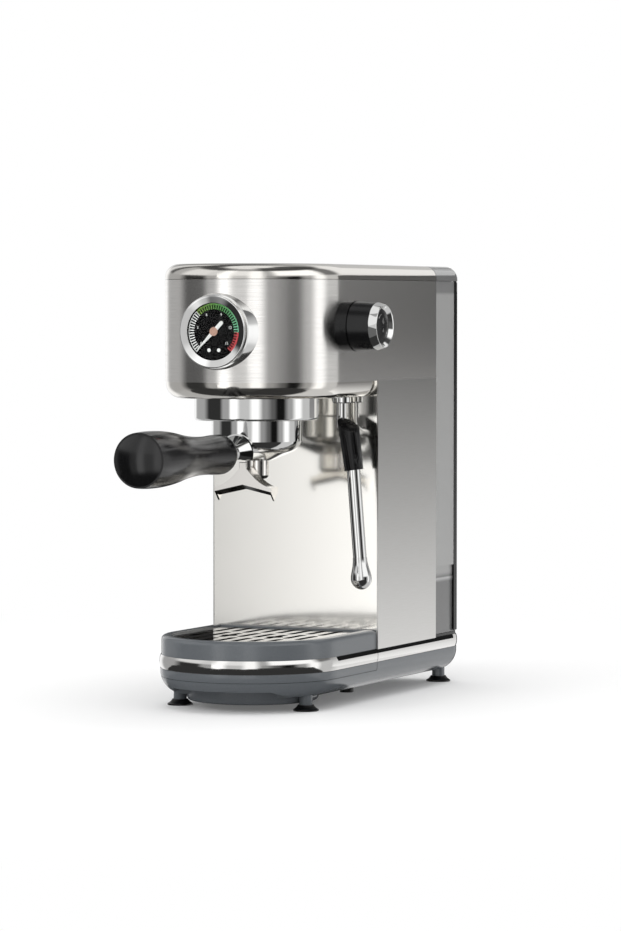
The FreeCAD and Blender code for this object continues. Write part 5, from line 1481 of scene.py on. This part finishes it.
@dataclass
class Studio:
    """The floor, the lamps, the studio round the machine and the camera. Lengths in metres."""

    lens_mm: float = 146.45
    sensor_mm: float = 36.0
    camera_at: tuple[float, float, float] = (1.13679, -2.39637, 0.27536)
    look_down: float = 2.3447
    look_left: float = 25.0535
    floor_radius: float = 8.0
    floor_tone: float = 0.85
    floor_lift: float = 0.12
    shadow_reach: tuple[float, float] = (0.32, 0.8)
    open_light: float = 0.8
    wall: tuple[Panel, ...] = (
        Panel(-180, -166, 1.0), Panel(-155, -152, 0.6), Panel(-141, -129, 1.1), Panel(-118, -88, 0.44),
        Panel(-74, -46, 0.035), Panel(-39, -27.5, 0.43), Panel(-22.6, -13, 1.5), Panel(-5, 11, 0.68),
        Panel(18, 28, 1.35), Panel(37, 44, 0.36), Panel(54, 58, 0.13), Panel(65, 77, 0.008),
        Panel(87, 94, 0.42), Panel(104, 113, 1.35), Panel(121, 144, 0.66), Panel(164, 180, 1.0),
    )
    upper_wall: tuple[Panel, ...] = (
        Panel(-180, -166, 0.6), Panel(-150, -143, 0.3), Panel(-135, -129, 0.8), Panel(-121, -113, 0.12),
        Panel(-108, -92, 0.5), Panel(-80, -46, 0.9), Panel(-39, -28, 0.8), Panel(-21.5, -13, 1.4),
        Panel(-5, 11, 1.0), Panel(18, 28, 1.35), Panel(36, 43, 0.5), Panel(51, 108, 1.35),
        Panel(121, 141, 0.2), Panel(152, 180, 1.0),
    )
    ceiling: tuple[Panel, ...] = (
        Panel(-180, -172, 0.4), Panel(-160, -40, 0.08), Panel(-20, 15, 0.4), Panel(35, 150, 0.07),
        Panel(170, 180, 0.4),
    )
    overhead: tuple[Panel, ...] = (Panel(-180, 5, 0.95), Panel(35, 150, 0.1), Panel(170, 180, 0.95))
    ground: tuple[Panel, ...] = (Panel(-180, -90, 0.5), Panel(-72, 90, 0.06), Panel(104, 180, 0.7))
    zenith: float = 0.95
    # Heights in degrees over which the ground gives way to the wall, the wall to the upper wall, and so on.
    changes: tuple[tuple[float, float], ...] = (
        (-32.0, -20.0), (9.0, 17.0), (45.0, 54.0), (64.0, 72.0), (77.0, 83.0)
    )
    near_cards: tuple[Card, ...] = (
        Card("side_card", 155.0, 0.42, 0.30, (-0.06, 0.362), (
            (0.0, 1.15), (0.14, 0.98), (0.21, 0.86), (0.45, 0.52), (0.64, 0.27), (0.72, 0.13), (1.0, 0.1),
        )),
        Card("rear_card", -165.0, 0.40, 0.34, (-0.06, 0.29), ((0.0, 0.04),)),
        Card("low_card", -155.0, 0.30, 0.16, (0.0, 0.10), ((0.0, 0.02),), aside=0.075),
    )
    # Bearings and how far the dark cloth reaches there. Beyond the first and the last it is cut short.
    dark_cloth: tuple[tuple[float, float], ...] = (
        (-84, 0.3), (-60, 0.55), (-35, 0.5), (-24, 0.24), (-12, 0.19), (-2, 0.26), (6, 0.24),
        (16, 0.19), (26, 0.27), (36, 0.5), (60, 0.55), (84, 0.42), (100, 0.25),
    )
    cloth_short: float = 0.08
    cloth_level: float = 0.04
    cloth_height: float = 0.001
    soft_lamps: tuple[Lamp, ...] = (
        Lamp("top_lamp", 1.2, 8.0, (0.1, 0.1, 1.5), (0.0, 0.0, 0.1)),
        Lamp("front_lamp", 0.9, 5.0, (-0.7, -1.3, 0.9), (0.0, 0.0, 0.15)),
    )

    def build(self) -> None:
        """Sets up everything that isn't the machine."""
        self.floor()
        for card in self.near_cards:
            self.card(card)
        self.floor_cloth()
        for lamp in self.soft_lamps:
            self.lamp(lamp)
        self.world()
        self.camera()
        bpy.context.scene.view_settings.view_transform = "Standard"

    def world(self) -> None:
        """White to the camera, a soft even light on matt surfaces, and the panels to polished ones."""
        world = bpy.data.worlds.new("studio")
        bpy.context.scene.world = world
        tree = clean_tree(world)
        toward = add_node(tree, "TexCoord").outputs["Generated"]
        parts = add_node(tree, "SeparateXYZ", {"Vector": toward}).outputs
        front = add_node(tree, "Math", {"operation": "MULTIPLY", 0: parts["Y"], 1: -1.0})
        bearing = add_node(tree, "Math", {"operation": "ARCTAN2", 0: parts["X"], 1: front})
        turn = add_node(tree, "MapRange", {"Value": bearing, "From Min": -math.pi, "From Max": math.pi})
        height = add_node(tree, "Math", {"operation": "ARCSINE", 0: parts["Z"]})
        tiers = [
            add_node(tree, "ValToRGB", {"Fac": turn, "stops": self.ramp_stops(tier)})
            for tier in (self.ground, self.wall, self.upper_wall, self.ceiling, self.overhead)
        ]
        seen = tiers[0]
        for above, span in zip([*tiers[1:], grey(self.zenith)], self.changes):
            start, end = (math.radians(edge) for edge in span)
            change = {"interpolation_type": "SMOOTHSTEP", "Value": height, "From Min": start, "From Max": end}
            share = add_node(tree, "MapRange", change)
            layers = {"data_type": "RGBA", SHARE: share, UNDER: seen, OVER: above}
            seen = add_node(tree, "Mix", layers).outputs[BLENDED]
        rays = add_node(tree, "LightPath").outputs
        light = {"data_type": "RGBA", SHARE: rays["Is Glossy Ray"], UNDER: grey(self.open_light), OVER: seen}
        lit = add_node(tree, "Mix", light).outputs[BLENDED]
        straight = {"operation": "MAXIMUM", 0: rays["Is Camera Ray"], 1: rays["Is Transmission Ray"]}
        through = add_node(tree, "Math", straight)
        backdrop = {"data_type": "RGBA", SHARE: through, UNDER: lit, OVER: grey(1.0)}
        shown = add_node(tree, "Mix", backdrop).outputs[BLENDED]
        add_node(tree, "OutputWorld", {"Surface": add_node(tree, "Background", {"Color": shown})})

    def ramp_stops(self, panels: tuple[Panel, ...]) -> list[tuple[float, Colour]]:
        """The stops of a colour ramp that runs once round the studio."""
        ends = [(bearing, panel.level) for panel in panels for bearing in (panel.start, panel.end)]
        return [((bearing + 180) / 360, grey(level)) for bearing, level in ends]

    def floor(self) -> None:
        """A pale matt floor that keeps the machine's shadow and turns white away from it."""
        floor = primitive(
            bpy.ops.mesh.primitive_circle_add, vertices=96, radius=self.floor_radius, fill_type="NGON"
        )
        floor.name = "floor"
        material = bpy.data.materials.new("pale_floor")
        tree = clean_tree(material)
        matt = add_node(tree, "BsdfDiffuse", {"Color": grey(self.floor_tone)})
        seen = add_node(tree, "LightPath").outputs["Is Camera Ray"]
        glow = add_node(tree, "Math", {"operation": "MULTIPLY", 0: seen, 1: self.floor_lift})
        lift = add_node(tree, "Emission", {"Color": grey(1.0), "Strength": glow})
        near = add_node(tree, "AddShader", {0: matt, 1: lift})
        place = add_node(tree, "TexCoord").outputs["Object"]
        reach = add_node(tree, "VectorMath", {"operation": "LENGTH", 0: place}).outputs["Value"]
        start, end = self.shadow_reach
        fade = {"interpolation_type": "SMOOTHSTEP", "Value": reach, "From Min": start, "From Max": end}
        away = add_node(tree, "MapRange", fade)
        white = add_node(tree, "Emission", {"Color": grey(1.0)})
        share = add_node(tree, "Math", {"operation": "MULTIPLY", 0: seen, 1: away})
        both = add_node(tree, "MixShader", {"Fac": share, 1: near, 2: white})
        add_node(tree, "OutputMaterial", {"Surface": both})
        floor.data.materials.append(material)
        floor.visible_glossy = False

    def card(self, card: Card) -> None:
        """Stands a card where it belongs.

        Args:
            card: What it is like.
        """
        piece = primitive(bpy.ops.mesh.primitive_plane_add, size=1.0)
        piece.name = card.name
        angle = math.radians(card.bearing)
        away = Vector((math.sin(angle), -math.cos(angle), 0.0))
        left = Vector((-away.y, away.x, 0.0))
        low, high = card.span
        spot = away * card.reach + left * card.aside + Vector((0.0, 0.0, (low + high) / 2))
        size = Matrix.Diagonal((card.width, high - low, 1.0, 1.0))
        facing = Matrix.Rotation(angle - math.pi, 4, "Z") @ Matrix.Rotation(QUARTER, 4, "X")
        piece.data.transform(Matrix.Translation(spot) @ facing @ size)
        self.show_to_mirrors(piece, card.span, card.levels)

    def floor_cloth(self) -> None:
        """A dark cloth on the floor before the machine.

        Its edge comes near in two bays, which is what draws the pale hills on the chrome band.
        """
        low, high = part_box("tray_band")
        centre = Vector(((low.x + high.x) / 2, low.y + (high.x - low.x) / 2, self.cloth_height))
        cloth = primitive(bpy.ops.mesh.primitive_circle_add, vertices=64, radius=1.0, fill_type="TRIFAN")
        cloth.name = "floor_cloth"
        for vertex in cloth.data.vertices:
            if vertex.co.length > 0.5:
                bearing = math.degrees(math.atan2(vertex.co.x, -vertex.co.y))
                vertex.co = vertex.co.normalized() * self.cloth_reach(bearing)
        cloth.data.transform(Matrix.Translation(centre))
        self.show_to_mirrors(cloth, (0.0, 1.0), ((0.0, self.cloth_level),))

    def cloth_reach(self, bearing: float) -> float:
        """How far the dark cloth reaches.

        Args:
            bearing: Degrees, 0 before the machine and 90 to its right.

        Returns:
            The reach in metres.
        """
        for (start, near), (end, far) in zip(self.dark_cloth, self.dark_cloth[1:]):
            if start < bearing <= end:
                return near + (far - near) * (bearing - start) / (end - start)
        return self.cloth_short

    def show_to_mirrors(
        self, card: Piece, span: tuple[float, float], levels: tuple[tuple[float, float], ...]
    ) -> None:
        """Makes a card glow and lets only polished metal see it, as a flag that stands outside the picture.

        Args:
            card: The card.
            span: Heights between which its brightness changes, in metres.
            levels: Brightness along its height, from 0 at the lower end to 1 at the upper one.
        """
        material = bpy.data.materials.new(card.name)
        tree = clean_tree(material)
        place = add_node(tree, "TexCoord").outputs["Object"]
        height = add_node(tree, "SeparateXYZ", {"Vector": place}).outputs["Z"]
        grade = add_node(tree, "MapRange", {"Value": height, "From Min": span[0], "From Max": span[1]})
        stops = [(share, grey(level)) for share, level in levels]
        ramp = add_node(tree, "ValToRGB", {"Fac": grade, "stops": stops})
        add_node(tree, "OutputMaterial", {"Surface": add_node(tree, "Emission", {"Color": ramp})})
        card.data.materials.append(material)
        card.visible_camera = card.visible_diffuse = card.visible_transmission = card.visible_shadow = False

    def lamp(self, lamp: Lamp) -> None:
        """Hangs a lamp that polished metal doesn't see.

        Args:
            lamp: What it is like.
        """
        data = bpy.data.lights.new(lamp.name, "AREA")
        data.shape = "SQUARE"
        data.size = lamp.size
        data.energy = lamp.power
        holder = self.place(lamp.name, data, lamp.spot)
        holder.rotation_euler = (Vector(lamp.aim) - Vector(lamp.spot)).to_track_quat("-Z", "Y").to_euler()
        holder.visible_glossy = False

    def camera(self) -> None:
        """The photograph's camera: a long lens, a little above the machine's middle."""
        data = bpy.data.cameras.new("camera")
        data.lens = self.lens_mm
        data.sensor_width = self.sensor_mm
        holder = self.place("camera", data, self.camera_at)
        holder.rotation_euler = (math.radians(90 - self.look_down), 0.0, math.radians(self.look_left))
        bpy.context.scene.camera = holder

    def place(self, name: str, data: bpy.types.ID, spot: tuple[float, float, float]) -> Piece:
        """Puts a lamp or a camera into the scene.

        Args:
            name: Its name.
            data: The lamp's or the camera's own data.
            spot: Where it goes.

        Returns:
            Its object.
        """
        holder = bpy.data.objects.new(name, data)
        bpy.context.scene.collection.objects.link(holder)
        holder.location = spot
        return holder


def main() -> None:
    """Builds the studio and dresses the machine."""
    logging.basicConfig(level=logging.INFO, format="%(message)s")
    Studio().build()
    workshop = Workshop()
    workshop.dress_nodes(
        {
            "front_panel": MIRROR_PANEL,
            # The slots above the trims get painted shade.
            "shadow_strips": SLOT_SHADE,
            "tray_shadow_strips": SLOT_SHADE,
            "drip_tray": TRAY_PLASTIC,
        }
    )
    Gauge(workshop).build()
    Spout(workshop).build()
    SteamWand(workshop).build()
    Knob(workshop).build()
    TankTrim(workshop).build()


if __name__ == "__main__":
    main()
